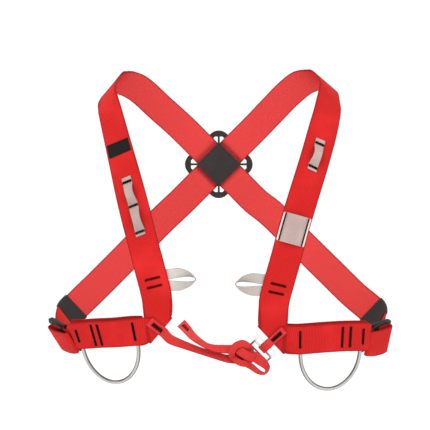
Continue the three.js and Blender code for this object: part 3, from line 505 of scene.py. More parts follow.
class Solid:
    """Collects the corners and faces of a mesh that is modelled directly."""

    def __init__(self) -> None:
        """Starts with nothing in it."""
        self.points: list[Vector] = []
        self.uvs: list[tuple[float, float]] = []
        self.reverse: dict[int, float] = {}
        self.faces: list[tuple[int, ...]] = []

    def add(self, points: Iterable[Vector], uvs: Optional[Iterable[tuple[float, float]]] = None) -> int:
        """Adds corners.

        Args:
            points: their places.
            uvs: across and along in metres for each, or none.

        Returns:
            The index of the first.
        """
        start = len(self.points)
        points = list(points)
        self.points.extend(points)
        self.uvs.extend(uvs if uvs is not None else [(0.0, 0.0)] * len(points))
        return start

    def loft(
        self,
        rings: Sequence[Sequence[Vector]],
        uvs: Optional[Sequence[Sequence[tuple[float, float]]]] = None,
        closed: bool = False,
    ) -> None:
        """Adds a skin through rings of corners, with flat ends unless it is closed.

        Args:
            rings: equally long rings, turning the right-hand way round the line.
            uvs: across and along for each corner.
            closed: whether the last ring meets the first.
        """
        count = len(rings[0])
        starts = [self.add(ring, uvs[i] if uvs else None) for i, ring in enumerate(rings)]
        spans = len(rings) if closed else len(rings) - 1
        for i in range(spans):
            here, there = starts[i], starts[(i + 1) % len(rings)]
            for k in range(count):
                j = (k + 1) % count
                self.faces.append((here + k, here + j, there + j, there + k))
        if not closed:
            self.faces.append(tuple(starts[0] + k for k in reversed(range(count))))
            self.faces.append(tuple(starts[-1] + k for k in range(count)))

    def ribbon(
        self,
        places: Sequence[Place],
        thickness: float,
        closed: bool = False,
        lift: float = 0.0,
        inside: int = 0,
        edge: Optional[float] = None,
    ) -> None:
        """Adds flat webbing with thin woven edges.

        Args:
            places: the places on its line.
            thickness: metres.
            closed: whether the line meets itself.
            lift: metres along the normal from the line to the middle of the webbing.
            inside: 1 or -1 marks the face on that side of the normal as the reverse face.
            edge: the half width that the finish is told, where the webbing is gathered.
        """
        section = [(a, -h) for a, h in WEBBING_COLUMNS] + [(a, h) for a, h in reversed(WEBBING_COLUMNS)]
        rings, uvs = [], []
        for place in places:
            half = edge or place.w.length
            rings.append([place.point(a, lift + h * thickness * HALF) for a, h in section])
            uvs.append([(a * half, place.s) for a, _ in section])
        first = len(self.points)
        self.loft(rings, uvs, closed)
        for k in range(len(rings) * len(section)):
            if section[k % len(section)][1] * inside > 0:
                self.reverse[first + k] = 1.0

    def tube(
        self,
        path: Sequence[Vector],
        radius: float,
        sides: int = 6,
        closed: bool = False,
        reference: Vector = TUBE_START,
    ) -> None:
        """Adds round thread, cord or wire.

        Args:
            path: the points on its line.
            radius: metres.
            sides: corners round it.
            closed: whether the line meets itself.
            reference: the direction from which the corners are counted.
        """
        rings, uvs, length = [], [], 0.0
        for i, point in enumerate(path):
            if closed:
                before, after = path[i - 1], path[(i + 1) % len(path)]
            else:
                before, after = path[max(i - 1, 0)], path[min(i + 1, len(path) - 1)]
            t = (after - before).normalized()
            side = t.cross(reference)
            if side.length < TUBE_NEARLY_ALONG:
                side = t.cross(TUBE_SPARE)
            side.normalize()
            up = side.cross(t)
            length += (point - path[i - 1]).length if i else 0.0
            angles = [2 * math.pi * k / sides for k in range(sides)]
            rings.append([point + side * math.cos(a) * radius + up * math.sin(a) * radius for a in angles])
            uvs.append([(a * radius, length) for a in angles])
            reference = up
        self.loft(rings, uvs, closed)

    def build(self, name: str, material: bpy.types.Material) -> bpy.types.Object:
        """Makes the object, with its UVs, its finish and smooth faces.

        Args:
            name: the piece's name.
            material: its finish.

        Returns:
            The object.
        """
        mesh = bpy.data.meshes.new(name)
        mesh.from_pydata(self.points, [], self.faces)
        layer = mesh.uv_layers.new(name="Along")
        for loop in mesh.loops:
            layer.data[loop.index].uv = self.uvs[loop.vertex_index]
        if self.reverse:
            marks = mesh.attributes.new("Reverse", "FLOAT", "POINT")
            for index, value in self.reverse.items():
                marks.data[index].value = value
        mesh.materials.append(material)
        piece = bpy.data.objects.new(name, mesh)
        bpy.context.scene.collection.objects.link(piece)
        bpy.ops.object.select_all(action="DESELECT")
        piece.select_set(True)
        bpy.context.view_layer.objects.active = piece
        bpy.ops.object.mode_set(mode="EDIT")
        bpy.ops.mesh.select_all(action="SELECT")
        bpy.ops.mesh.normals_make_consistent(inside=False)
        bpy.ops.object.mode_set(mode="OBJECT")
        bpy.ops.object.shade_smooth_by_angle(angle=math.radians(SMOOTH_BELOW))
        return piece


class Sock:
    """A shader value that can be written as a sum or product."""

    def __init__(self, graph: "Graph", socket: object) -> None:
        """Wraps a socket.

        Args:
            graph: the graph that it belongs to.
            socket: an output socket or a plain number.
        """
        self.graph = graph
        self.socket = socket

    def _maths(self, operation: str, *others: object) -> "Sock":
        """Adds a Math node on this value and others."""
        inputs = dict(enumerate([self, *others]))
        return self.graph.node("ShaderNodeMath", {"operation": operation}, inputs)

    def __add__(self, other: object) -> "Sock":
        """The sum."""
        return self._maths("ADD", other)

    __radd__ = __add__

    def __mul__(self, other: object) -> "Sock":
        """The product."""
        return self._maths("MULTIPLY", other)

    __rmul__ = __mul__

    def __sub__(self, other: object) -> "Sock":
        """The difference."""
        return self._maths("SUBTRACT", other)

    def __rsub__(self, other: object) -> "Sock":
        """The difference from a number."""
        return self * -1.0 + other

    def sin(self) -> "Sock":
        """The sine of the value."""
        return self._maths("SINE")

    def abs(self) -> "Sock":
        """The value without its sign."""
        return self._maths("ABSOLUTE")

    def ramp(self, low: float, high: float) -> "Sock":
        """The value rescaled and held between 0 and 1.

        Args:
            low: the value that becomes 0.
            high: the value that becomes 1.

        Returns:
            The rescaled value.
        """
        return self.graph.node(
            "ShaderNodeMapRange", {"interpolation_type": "SMOOTHSTEP"}, {0: self, 1: low, 2: high},
        )


class Graph:
    """The node tree of one finish."""

    def __init__(self, name: str) -> None:
        """Makes a material with one shader in it.

        Args:
            name: the material's name.
        """
        self.material = bpy.data.materials.new(name)
        self.material.use_nodes = True
        self.tree = self.material.node_tree
        self.shader = next(n for n in self.tree.nodes if n.type == "BSDF_PRINCIPLED")

    def _set(self, socket: bpy.types.NodeSocket, value: object) -> None:
        """Links a wrapped value to a socket, or sets the socket to a plain one.

        Args:
            socket: the input.
            value: what it gets.
        """
        if isinstance(value, Sock):
            self.tree.links.new(value.socket, socket)
        else:
            socket.default_value = value

    def node(self, kind: str, settings: dict, inputs: dict, output: object = 0) -> Sock:
        """Adds a node.

        Args:
            kind: its type.
            settings: its properties, set first.
            inputs: values or links of its sockets, by name or number.
            output: the output that is returned, by name or number.

        Returns:
            The wrapped output.
        """
        made = self.tree.nodes.new(kind)
        for key, value in settings.items():
            setattr(made, key, value)
        for key, value in inputs.items():
            self._set(made.inputs[key], value)
        return Sock(self, made.outputs[output])

    def along(self) -> tuple[Sock, Sock]:
        """The piece's own UV in metres.

        Returns:
            The places across and along.
        """
        uv = self.node("ShaderNodeTexCoord", {}, {}, "UV")
        split = self.tree.nodes.new("ShaderNodeSeparateXYZ")
        self.tree.links.new(uv.socket, split.inputs[0])
        return Sock(self, split.outputs[0]), Sock(self, split.outputs[1])

    def reverse(self) -> Sock:
        """Marks the reverse face of a main strap where it lies on the back.

        Returns:
            1 there and 0 elsewhere.
        """
        marked = self.node("ShaderNodeAttribute", {"attribute_name": "Reverse"}, {}, "Fac")
        place = self.node("ShaderNodeTexCoord", {}, {}, "Object")
        split = self.tree.nodes.new("ShaderNodeSeparateXYZ")
        self.tree.links.new(place.socket, split.inputs[0])
        return marked * Sock(self, split.outputs[1]).ramp(*BACK_SHOWS)

    def noise(self, scale: float, detail: float = 4.0, stretch: Sequence[float] = (1.0, 1.0, 1.0)) -> Sock:
        """Soft noise over the object.

        Args:
            scale: how fine it is, per metre.
            detail: its octaves.
            stretch: how much finer it is along each axis.

        Returns:
            Values round 0.5.
        """
        place = self.node("ShaderNodeTexCoord", {}, {}, "Object")
        scaled = self.node("ShaderNodeMapping", {}, {"Vector": place, "Scale": stretch})
        return self.node("ShaderNodeTexNoise", {}, {"Vector": scaled, "Scale": scale, "Detail": detail})

    def mix(self, factor: Sock, low: "Colour | Sock", high: "Colour | Sock") -> Sock:
        """Mixes two colours.

        Args:
            factor: the share of high.
            low: a colour or a wrapped one.
            high: a colour or a wrapped one.

        Returns:
            The mixed colour.
        """
        made = self.tree.nodes.new("ShaderNodeMix")
        made.data_type = "RGBA"
        colours = [s for s in made.inputs if s.type == "RGBA"]
        self._set(made.inputs[0], factor)
        self._set(colours[0], low if isinstance(low, Sock) else (*low, 1.0))
        self._set(colours[1], high if isinstance(high, Sock) else (*high, 1.0))
        return Sock(self, next(s for s in made.outputs if s.type == "RGBA"))

    def finish(self, **values: object) -> bpy.types.Material:
        """Sets the shader's sockets.

        Args:
            **values: by socket name with _ for a space; bump is a height with its depth in metres.

        Returns:
            The material.
        """
        bump = values.pop("bump", None)
        if bump is not None:
            height, depth = bump
            normal = self.node("ShaderNodeBump", {}, {"Height": height, "Distance": depth, "Strength": 1.0})
            self._set(self.shader.inputs["Normal"], normal)
        for key, value in values.items():
            self._set(self.shader.inputs[key.replace("_", " ")], value)
        return self.material


@dataclass(frozen=True)
class Webbing:
    """Woven webbing or tape: raised cords across its width that run along it."""

    name: str
    dark: Colour
    base: Colour
    light: Colour
    cord: float = 0.0038
    pick: float = 0.0024
    depth: float = 0.00014
    edge: float = 0.0216
    roughness: float = 0.82
    faded: Optional[Colour] = None
    zigzag: float = 0.45
    pick_share: float = 0.8
    cord_share: float = 0.2
    fibre_scale: float = 1400.0
    fibre_height: float = 0.35
    cloud_scale: float = 22.0
    cloud_range: tuple[float, float] = (0.4, 0.9)
    hollows: tuple[float, float] = (-0.12, 0.7)
    faded_hollows: tuple[float, float] = (-0.2, 0.7)
    # How the edges are darkened and raised; the darkening is partly the woven selvedge and partly painted
    # shade.
    rim_start: float = 0.92
    edge_dark_and_painted_shade: float = 0.75
    rim_height: float = 0.3
    wear: float = 0.2
    gloss: float = 0.12

    def build(self) -> bpy.types.Material:
        """Makes the material.

        Returns:
            The material.
        """
        g = Graph(self.name)
        u, v = g.along()
        picks = (v * (2 * math.pi / self.pick) + (u * (2 * math.pi / self.cord)).sin() * self.zigzag).sin()
        cords = (u * (4 * math.pi / self.cord)).sin() * HALF + HALF
        weave = (picks * HALF + HALF) * self.pick_share + cords * self.cord_share
        fibres = g.noise(self.fibre_scale, 3.0)
        cloud = g.noise(self.cloud_scale, 3.0)
        rim = u.abs().ramp(self.edge * self.rim_start, self.edge)
        body = g.mix(weave.ramp(*self.hollows), self.dark, self.base)
        body = g.mix(cloud.ramp(*self.cloud_range), body, self.light)
        if self.faded:
            pale = g.mix(weave.ramp(*self.faded_hollows), self.base, self.faded)
            body = g.mix(g.reverse(), body, pale)
        # The edges are darkened: partly the woven selvedge, partly painted shade between the knot's wraps.
        body = g.mix(rim * self.edge_dark_and_painted_shade, body, self.dark)
        height = weave + fibres * self.fibre_height + rim * self.rim_height
        return g.finish(
            Base_Color=body, Roughness=(fibres - HALF) * self.wear + self.roughness,
            Specular_IOR_Level=self.gloss, bump=(height, self.depth),
        )


@dataclass(frozen=True)
class Ribbed:
    """Black elastic or woven label cloth with fine ribs across its length."""

    name: str
    dark: Colour
    light: Colour
    pitch: float
    depth: float
    gloss: float = 0.3
    thread_pitch: float = 0.6
    shares: tuple[float, float, float] = (0.5, 0.2, 0.4)
    fuzz_scale: float = 900.0
    tones: tuple[float, float] = (0.2, 1.0)
    roughness: float = 0.65
    wear: float = 0.2

    def build(self) -> bpy.types.Material:
        """Makes the material.

        Returns:
            The material.
        """
        g = Graph(self.name)
        u, v = g.along()
        ribs = (v * (2 * math.pi / self.pitch)).sin() * HALF + HALF
        threads = (u * (2 * math.pi / (self.pitch * self.thread_pitch))).sin() * HALF + HALF
        fuzz = g.noise(self.fuzz_scale, 3.0)
        rib_share, thread_share, fuzz_share = self.shares
        tone = ribs * rib_share + threads * thread_share + fuzz * fuzz_share
        return g.finish(
            Base_Color=g.mix(tone.ramp(*self.tones), self.dark, self.light),
            Roughness=fuzz * self.wear + self.roughness,
            Specular_IOR_Level=self.gloss, bump=(tone, self.depth),
        )


@dataclass(frozen=True)
class Plastic:
    """Moulded black plastic with a fine texture and rubbed high spots."""

    name: str
    dark: Colour
    light: Colour
    rubbed: Colour = (0.09, 0.08, 0.075)
    cloud_range: tuple[float, float] = (0.3, 0.8)
    scuff_range: tuple[float, float] = (0.6, 0.75)
    grain_scale: float = 1500.0
    cloud_scale: float = 45.0
    scuff_scale: float = 160.0
    scuff_stretch: tuple[float, float, float] = (1.0, 1.0, 4.0)
    scuff_share: float = 0.12
    scuff_height: float = 0.4
    roughness: float = 0.4
    grain_wear: float = 0.15
    cloud_wear: float = 0.2
    gloss: float = 0.3
    depth: float = 0.00006

    def build(self) -> bpy.types.Material:
        """Makes the material.

        Returns:
            The material.
        """
        g = Graph(self.name)
        grain = g.noise(self.grain_scale, 2.0)
        cloud = g.noise(self.cloud_scale, 4.0)
        scuffs = g.noise(self.scuff_scale, 6.0, self.scuff_stretch).ramp(*self.scuff_range)
        tone = g.mix(cloud.ramp(*self.cloud_range), self.dark, self.light)
        tone = g.mix(scuffs * self.scuff_share, tone, self.rubbed)
        return g.finish(
            Base_Color=tone,
            Roughness=grain * self.grain_wear + cloud * self.cloud_wear + self.roughness,
            Specular_IOR_Level=self.gloss, bump=(grain + scuffs * self.scuff_height, self.depth),
        )


@dataclass(frozen=True)
class Steel:
    """Steel with fine drawing marks and faint stains; where it is wire, its sides are darkened with painted
    shade so that it reads as round.
    """

    name: str
    colour: Colour
    shade: Colour
    roughness: float
    # wire is the wire's radius; when it is set, the wire's sides get painted shade, whose colour and whose
    # start and full depth across the wire follow.
    wire: float = 0.0
    painted_side_shade: Colour = (0.13, 0.123, 0.116)
    painted_side_shade_range: tuple[float, float] = (0.25, 0.8)
    mark_scale: float = 700.0
    mark_stretch: tuple[float, float, float] = (0.4, 0.4, 2.5)
    stain_scale: float = 60.0
    stain_range: tuple[float, float] = (0.35, 0.75)
    mark_wear: float = 0.12
    stain_wear: float = 0.1
    depth: float = 0.00002

    def build(self) -> bpy.types.Material:
        """Makes the material.

        Returns:
            The material.
        """
        g = Graph(self.name)
        marks = g.noise(self.mark_scale, 4.0, self.mark_stretch)
        stains = g.noise(self.stain_scale, 5.0)
        tone = g.mix(stains.ramp(*self.stain_range), self.colour, self.shade)
        # Painted shade: the wire's two sides, a quarter turn from its front and back, are darkened.
        if self.wire:
            turn, _ = g.along()
            painted_side_shade = (turn * (1.0 / self.wire) + math.pi / 2).sin().abs()
            tone = g.mix(painted_side_shade.ramp(*self.painted_side_shade_range), tone, self.painted_side_shade)
        return g.finish(
            Base_Color=tone, Metallic=1.0,
            Roughness=marks * self.mark_wear + stains * self.stain_wear + self.roughness,
            bump=(marks, self.depth),
        )


@dataclass(frozen=True)
class Thread:
    """Sewing thread with a twist in it."""

    name: str
    colour: Colour
    round_turns: float = 5000.0
    along_turns: float = 6000.0
    lift: float = 1.8
    floor: float = 0.004
    roughness: float = 0.9
    gloss: float = 0.05
    depth: float = 0.00005

    def build(self) -> bpy.types.Material:
        """Makes the material.

        Returns:
            The material.
        """
        g = Graph(self.name)
        u, v = g.along()
        twist = (u * self.round_turns + v * self.along_turns).sin() * HALF + HALF
        light = tuple(min(1.0, c * self.lift + self.floor) for c in self.colour)
        return g.finish(
            Base_Color=g.mix(twist, self.colour, light), Roughness=self.roughness,
            Specular_IOR_Level=self.gloss, bump=(twist, self.depth),
        )


@dataclass
class Finishes:
    """Every finish of the harness, made once."""

    red: bpy.types.Material = field(init=False)
    narrow: bpy.types.Material = field(init=False)
    tape: bpy.types.Material = field(init=False)
    pale: bpy.types.Material = field(init=False)
    rim: bpy.types.Material = field(init=False)
    elastic: bpy.types.Material = field(init=False)
    label: bpy.types.Material = field(init=False)
    plastic: bpy.types.Material = field(init=False)
    buckle: bpy.types.Material = field(init=False)
    wire: bpy.types.Material = field(init=False)
    clasp: bpy.types.Material = field(init=False)
    black: bpy.types.Material = field(init=False)
    painted_knot_shadow: bpy.types.Material = field(init=False)

    def __post_init__(self) -> None:
        """Makes the materials."""
        self._cloth()
        self._hard()
        self.black = Thread("black_thread", (0.007, 0.004, 0.004)).build()
        # A dark red finish for the knot's core, which is painted shadow.
        self.painted_knot_shadow = Thread("knot_shadow_red", (0.10, 0.004, 0.004)).build()

    def _cloth(self) -> None:
        """Makes the webbing, the tapes, the elastic and the label's cloth."""
        deep, red, light = (0.25, 0.006, 0.006), (0.53, 0.0125, 0.0115), (0.57, 0.018, 0.017)
        faded = (0.59, 0.057, 0.055)
        fine = {"cord": 0.0015, "pick": 0.0016, "depth": 0.00012, "edge": TAPE_RIM, "roughness": 0.85}
        self.red = Webbing("red_webbing_weave", deep, red, light, faded=faded).build()
        self.narrow = Webbing(
            "red_tape_weave", deep, (0.58, 0.035, 0.033), faded,
            cord=0.0026, pick=0.0018, depth=0.00012, edge=TAPE_RIM,
        ).build()
        self.tape = Webbing(
            "grey_tape_weave", (0.19, 0.13, 0.115), (0.43, 0.325, 0.295), (0.50, 0.385, 0.355), **fine,
        ).build()
        self.pale = Webbing(
            "pale_tape_weave", (0.24, 0.215, 0.2), (0.48, 0.43, 0.40), (0.54, 0.49, 0.46), **fine,
        ).build()
        self.rim = Webbing(
            "pink_rim_weave", (0.40, 0.27, 0.26), (0.74, 0.58, 0.55), (0.80, 0.66, 0.63),
            cord=0.0016, pick=0.0016, depth=0.0001, edge=0.0030, roughness=0.85,
        ).build()
        self.elastic = Ribbed(
            "black_elastic_ribs", (0.008, 0.007, 0.007), (0.035, 0.03, 0.028), 0.0016, 0.00025,
        ).build()
        self.label = Ribbed(
            "black_label_cloth", (0.004, 0.0036, 0.0036), (0.015, 0.0135, 0.013), 0.0008, 0.0001, gloss=0.1,
        ).build()

    def _hard(self) -> None:
        """Makes the plastics and the steels."""
        self.plastic = Plastic(
            "black_plastic_moulded", (0.012, 0.0085, 0.0078), (0.021, 0.0152, 0.014),
        ).build()
        self.buckle = Plastic(
            "black_buckle_moulded", (0.005, 0.0036, 0.0034), (0.011, 0.008, 0.0075),
        ).build()
        # The wire's finish is given the shown wire's radius, which puts painted shade on the wire's sides.
        self.wire = Steel(
            "steel_wire_satin", (0.48, 0.465, 0.45), (0.40, 0.385, 0.37), 0.16, RING_SHOWN * HALF,
        ).build()
        self.clasp = Steel("steel_clasp_polished", (0.66, 0.67, 0.69), (0.48, 0.49, 0.51), 0.1).build()


def settle(piece: bpy.types.Object, slot: Optional[str] = None, *nodes: str) -> bpy.types.Object:
    """Gives a finished piece its body, hides the nodes that it stands for, and reports it.

    Args:
        piece: the object.
        slot: not used.
        nodes: the nodes that it stands for.

    Returns:
        The piece.
    """
    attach(piece, "root")
    if nodes:
        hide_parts(*nodes)
    LOG.info("%s: %d faces", piece.name, len(piece.data.polygons))
    return piece


@dataclass(frozen=True)
class TackStyle:
    """A bar tack: its width in metres, its number of crossings and its thread's radius."""

    width: float
    turns: int
    radius: float = 0.0005


def tack(solid: Solid, at: Callable[[float, float], Vector], style: TackStyle) -> None:
    """Adds a bar tack: thread that crosses to and fro along a line.

    Args:
        solid: what it is added to.
        at: gives the point at a share of the line, and at metres to its side.
        style: the tack's measures.
    """
    path = []
    for k in range(style.turns + 1):
        side = style.width * HALF * (1 if k % 2 else -1)
        path.append(at(k / style.turns, side))
    solid.tube(path, style.radius, 5)


def running_stitch(
    solid: Solid, points: Sequence[Vector], normals: Sequence[Vector], radius: float = 0.0003,
) -> None:
    """Adds a row of stitches: every second part of the line is a raised dash of thread.

    Args:
        solid: what it is added to.
        points: the points of the line, two to a stitch.
        normals: the surface's normal at each.
        radius: the thread's radius.
    """
    for k in range(0, len(points) - 1, 2):
        a, b = points[k], points[k + 1]
        middle = (a + b) * HALF + normals[k] * radius
        solid.tube([a - normals[k] * radius, middle, b - normals[k] * radius], radius, 5)


def turn_round(centre: Vector, a: Vector, b: Vector, radius: float, w: Vector, parts: int) -> list[Station]:
    """The stations of a half turn round an axis.

    Args:
        centre: the axis' place.
        a: the direction of the start.
        b: the direction of the middle.
        radius: metres.
        w: the half width.
        parts: how many parts.

    Returns:
        The stations.
    """
    made = []
    for i in range(parts + 1):
        angle = math.pi * i / parts
        p = centre + a * (radius * math.cos(angle)) + b * (radius * math.sin(angle))
        t = a * -math.sin(angle) + b * math.cos(angle)
        made.append(Station(p, w.copy(), t, 1 if i < parts else None))
    return made


@dataclass
class BuckleFrame:
    """Where a side buckle stands: its centre and its length, width and outward directions."""

    side: Side
    centre: Vector = field(init=False)
    u: Vector = field(init=False)
    w: Vector = field(init=False)
    o: Vector = field(init=False)

    def __post_init__(self) -> None:
        """Works out the directions from the table."""
        sign = self.side.value
        centre, length, width = SIDE_BUCKLE[self.side]
        self.centre = placed(sign, *centre)
        self.u = Vector((sign * length[0], length[1], length[2])).normalized()
        rough = Vector((sign * width[0], width[1], width[2]))
        self.w = (rough - self.u * rough.dot(self.u)).normalized()
        self.o = self.u.cross(self.w) * sign


def band_stations(side: Side) -> list[tuple[Station, Vector]]:
    """The outer layer of a chest band from the side to the corner.

    Args:
        side: which band.

    Returns:
        Each station with its outward normal.
    """
    sign = side.value
    raw = [
        Station(placed(sign, *row[:3]), width_vector(sign, row[3], row[4], WEBBING_WIDTH))
        for row in reversed(BAND[side])
    ]
    return [(station, place.n * -sign) for station, place in zip(raw, Route(raw).places)]


@dataclass
class CornerFrame:
    """The plane in which a chest band folds into its front strap."""

    side: Side
    drawn: float = 0.0
    c: Vector = field(init=False)
    band: Vector = field(init=False)
    out: Vector = field(init=False)
    away: Vector = field(init=False)
    w: Vector = field(init=False)

    def __post_init__(self) -> None:
        """Works out the directions from the tables."""
        sign = self.side.value
        across, depth, drop = CORNER[self.side]
        self.c = placed(sign, across - self.drawn, depth + self.drawn / 4, drop)
        up = (placed(sign, *FRONT_TO_BACK[self.side][0][:3]) - self.c).normalized()
        self.band = (band_stations(self.side)[-1][0].p - self.c).normalized()
        self.out = (up.cross(self.band) * -sign).normalized()
        fold = (up - self.band).normalized()
        self.away = -(up + self.band).normalized()
        self.w = fold * (WEBBING_WIDTH * HALF / math.sqrt(1 - fold.dot(up) ** 2))


@dataclass
class MainStrap:
    """One continuous main strap, from the inner band layer to the free end in the other buckle."""

    side: Side
    finishes: Finishes
    fineness: int = 3
    default_steps: int = 3
    band_steps: int = 3
    run_steps: int = 5
    last_steps: int = 8
    wrap_parts: int = 6
    fold_parts: int = 4
    roll_width: float = 1.02
    layer_fineness: int = 12
    strap_tack: TackStyle = TackStyle(0.0032, 76, 0.00065)
    band_tack: TackStyle = TackStyle(0.0032, 96, 0.0006)
    route: Route = field(init=False)

    def __post_init__(self) -> None:
        """Works out the strap's line."""
        slope = Vector((-self.side.value, 0.0, -1.0)).normalized()
        behind = IN_PLATE if self.side is Side.LEFT else IN_PLATE + SEWN_STEP
        woven = self._woven(self._stations(), slope, behind)
        self.route = Route(smooth(woven, self.default_steps, self.fineness))

    def _stations(self) -> list[Station]:
        """The strap's stations, as if nothing were woven through the cross plate.

        Returns:
            The stations from the inner layer's end to the free tail's.
        """
        sign = self.side.value
        band = band_stations(self.side)
        corner = CornerFrame(self.side, CORNER_DRAWN[self.side])
        own = BuckleFrame(self.side)
        half = own.w * (WEBBING_WIDTH * HALF)
        bar = own.centre - own.u * BUCKLE_PITCH
        inner = [
            Station(s.p - out * CHANNEL_STEP, s.w.copy(), steps=self.band_steps)
            for s, out in reversed(band)
        ]
        end = Station(
            corner.c + corner.band * (WEBBING_WIDTH * HALF) - corner.out * CHANNEL_STEP,
            inner[0].w.copy(), steps=2,
        )
        off = BAR_WRAP_RADIUS - BAR_CLEARANCE
        lead_in = Station(bar - own.u * BAR_LEAD - own.o * off, half.copy(), steps=1)
        lead_out = Station(bar - own.u * BAR_LEAD + own.o * off, half.copy(), steps=self.band_steps)
        loop = turn_round(bar, -own.o, own.u, BAR_WRAP_RADIUS, half, self.wrap_parts)
        loop[-1].steps = 1
        outer = [Station(s.p.copy(), s.w.copy(), steps=self.band_steps) for s, _ in band]
        outer[-1].steps = 1
        radius = SEWN_STEP * HALF
        short = corner.w * CORNER_SHARE[self.side]
        centre = corner.c - corner.out * radius - corner.w * CORNER_SHIFT[self.side]
        fold = turn_round(centre, -corner.out, corner.away, radius, short, self.fold_parts)
        fold[-1].steps = 1
        rows = FRONT_TO_BACK[self.side]
        up = Station(placed(sign, *rows[0][:3]), width_vector(sign, *rows[0][3:5], WEBBING_WIDTH))
        outer += self._towards(outer[-1], Station(fold[0].p, corner.w))
        fold += list(reversed(self._towards(up, Station(fold[-1].p, corner.w))))
        run = [
            Station(
                placed(sign, *row[:3]), width_vector(sign, row[3], row[4], WEBBING_WIDTH * row[5]),
                steps=self.run_steps if i < len(rows) - 2 else self.last_steps,
            )
            for i, row in enumerate(rows)
        ]
        return [end, *inner, lead_in, *loop, lead_out, *outer, *fold, *run, *self._free_end()]

    def _towards(self, start: Station, end: Station) -> list[Station]:
        """Straight webbing that narrows a little as it comes to the fold of a corner.

        Args:
            start: where the full width begins.
            end: the fold, with the width that an untrimmed corner would have.

        Returns:
            The stations between.
        """
        return [
            Station(start.p.lerp(end.p, share), start.w.lerp(end.w, share) * width, steps=1)
            for share, width in CORNER_ROUND[self.side]
        ]

    def _free_end(self) -> list[Station]:
        """The strap's last stretch, round the other buckle's middle bar and folded over it.

        Returns:
            The stations.
        """
        b = BuckleFrame(self.side.other)
        half = b.w * (WEBBING_WIDTH * HALF)

        def at(along: float, off: float, droop: float = 0.0) -> Vector:
            """A point in the buckle's own directions."""
            return b.centre + b.u * along + b.o * off - b.w * droop

        rear = BUCKLE_PITCH + TAIL_OVERHANG
        low = BAR_WRAP_RADIUS
        high = low + 2 * TAIL_FOLD_RADIUS
        fold = at(rear, low + TAIL_FOLD_RADIUS, TAIL_DROOP * 2)
        parts = self.wrap_parts
        return [
            Station(at(rear - WEBBING_THICKNESS, -low), half, steps=2),
            Station(at(BUCKLE_PITCH, -low), half, steps=1),
            *turn_round(b.centre, -b.o, -b.u, BAR_WRAP_RADIUS, half, parts),
            Station(at(BUCKLE_PITCH, low), half, steps=2),
            *turn_round(fold, -b.o, b.u, TAIL_FOLD_RADIUS, half * self.roll_width, parts),
            *(
                Station(at(along, high + rise, TAIL_DROOP * droop), half * width, steps=steps)
                for along, rise, droop, width, steps in TAIL_END
            ),
        ]

    def _woven(self, stations: list[Station], slope: Vector, behind: float) -> list[Station]:
        """Puts the stretch that passes through the cross plate in place of the stations there.

        Args:
            stations: the strap's stations.
            slope: the stretch's direction.
            behind: how far behind the plate's middle it passes.

        Returns:
            The strap's stations with the new stretch.
        """
        crossing = placed(1, *PLATE_CROSSING)
        rim = PLATE_SIDE * HALF - PLATE_RIM
        profile = [
            (0.0, behind), (PLATE_CENTRE * HALF + SLOT_MARGIN, behind),
            (rim - SLOT_MARGIN * HALF, -IN_PLATE),
            (PLATE_SIDE * HALF + PLATE_GAP, -IN_PLATE), (PLATE_REACH, 0.0),
        ]
        marks = [(-d, off) for d, off in reversed(profile)][:-1] + profile
        across = Vector((-slope.z, 0.0, slope.x))
        reference = next(s for s in stations if (s.p - crossing).length < PLATE_REACH)
        across *= math.copysign(WEBBING_WIDTH * HALF, across.dot(reference.w))
        route = [
            Station(
                crossing + slope * d + Vector((0.0, off, 0.0)), across.copy(),
                steps=1 if abs(d) < PLATE_REACH else self.default_steps,
            )
            for d, off in marks
        ]
        near = [
            i for i, s in enumerate(stations)
            if s.p.y >= 0 and (s.p - crossing).length <= PLATE_REACH + WEBBING_WIDTH * HALF
        ]
        return [*stations[:near[0]], *route, *stations[near[-1] + 1:]]

    def build(self) -> None:
        """Makes the webbing and the sewn marks on it."""
        solid = Solid()
        solid.ribbon(self.route.places, WEBBING_THICKNESS, inside=-self.side.value)
        name = f"{self.side.label}_main_strap"
        settle(solid.build(f"{name}_webbing", self.finishes.red), "red_webbing", name)
        self._stitches(f"{self.side.label}_strap_stitching")

    def _stitches(self, name: str) -> None:
        """Makes the tacks across the front strap and down the band.

        Args:
            name: the piece's name.
        """
        sign = self.side.value
        solid = Solid()
        for drop in STRAP_TACKS[self.side]:
            middle = self.route.at(self.route.at_drop(drop), sign)
            tack(solid, lambda q, d, m=middle: m.point(q - HALF, ON_WEBBING) + m.t * d, self.strap_tack)
        stations = [station for station, _ in band_stations(self.side)]
        layer = Route(smooth(stations, self.layer_fineness))
        for share, low, high in BAND_TACKS[self.side]:
            x = sign * share * CHEST_HALF_WIDTH
            place = min(layer.places, key=lambda q: abs(q.p.x - x))
            start = place.p - place.n * (sign * ON_WEBBING)
            tack(
                solid,
                lambda q, d, m=place, s=start, a=low, b=high: s + m.w * (a + (b - a) * q) + m.t * d,
                self.band_tack,
            )
        settle(solid.build(name, self.finishes.black))


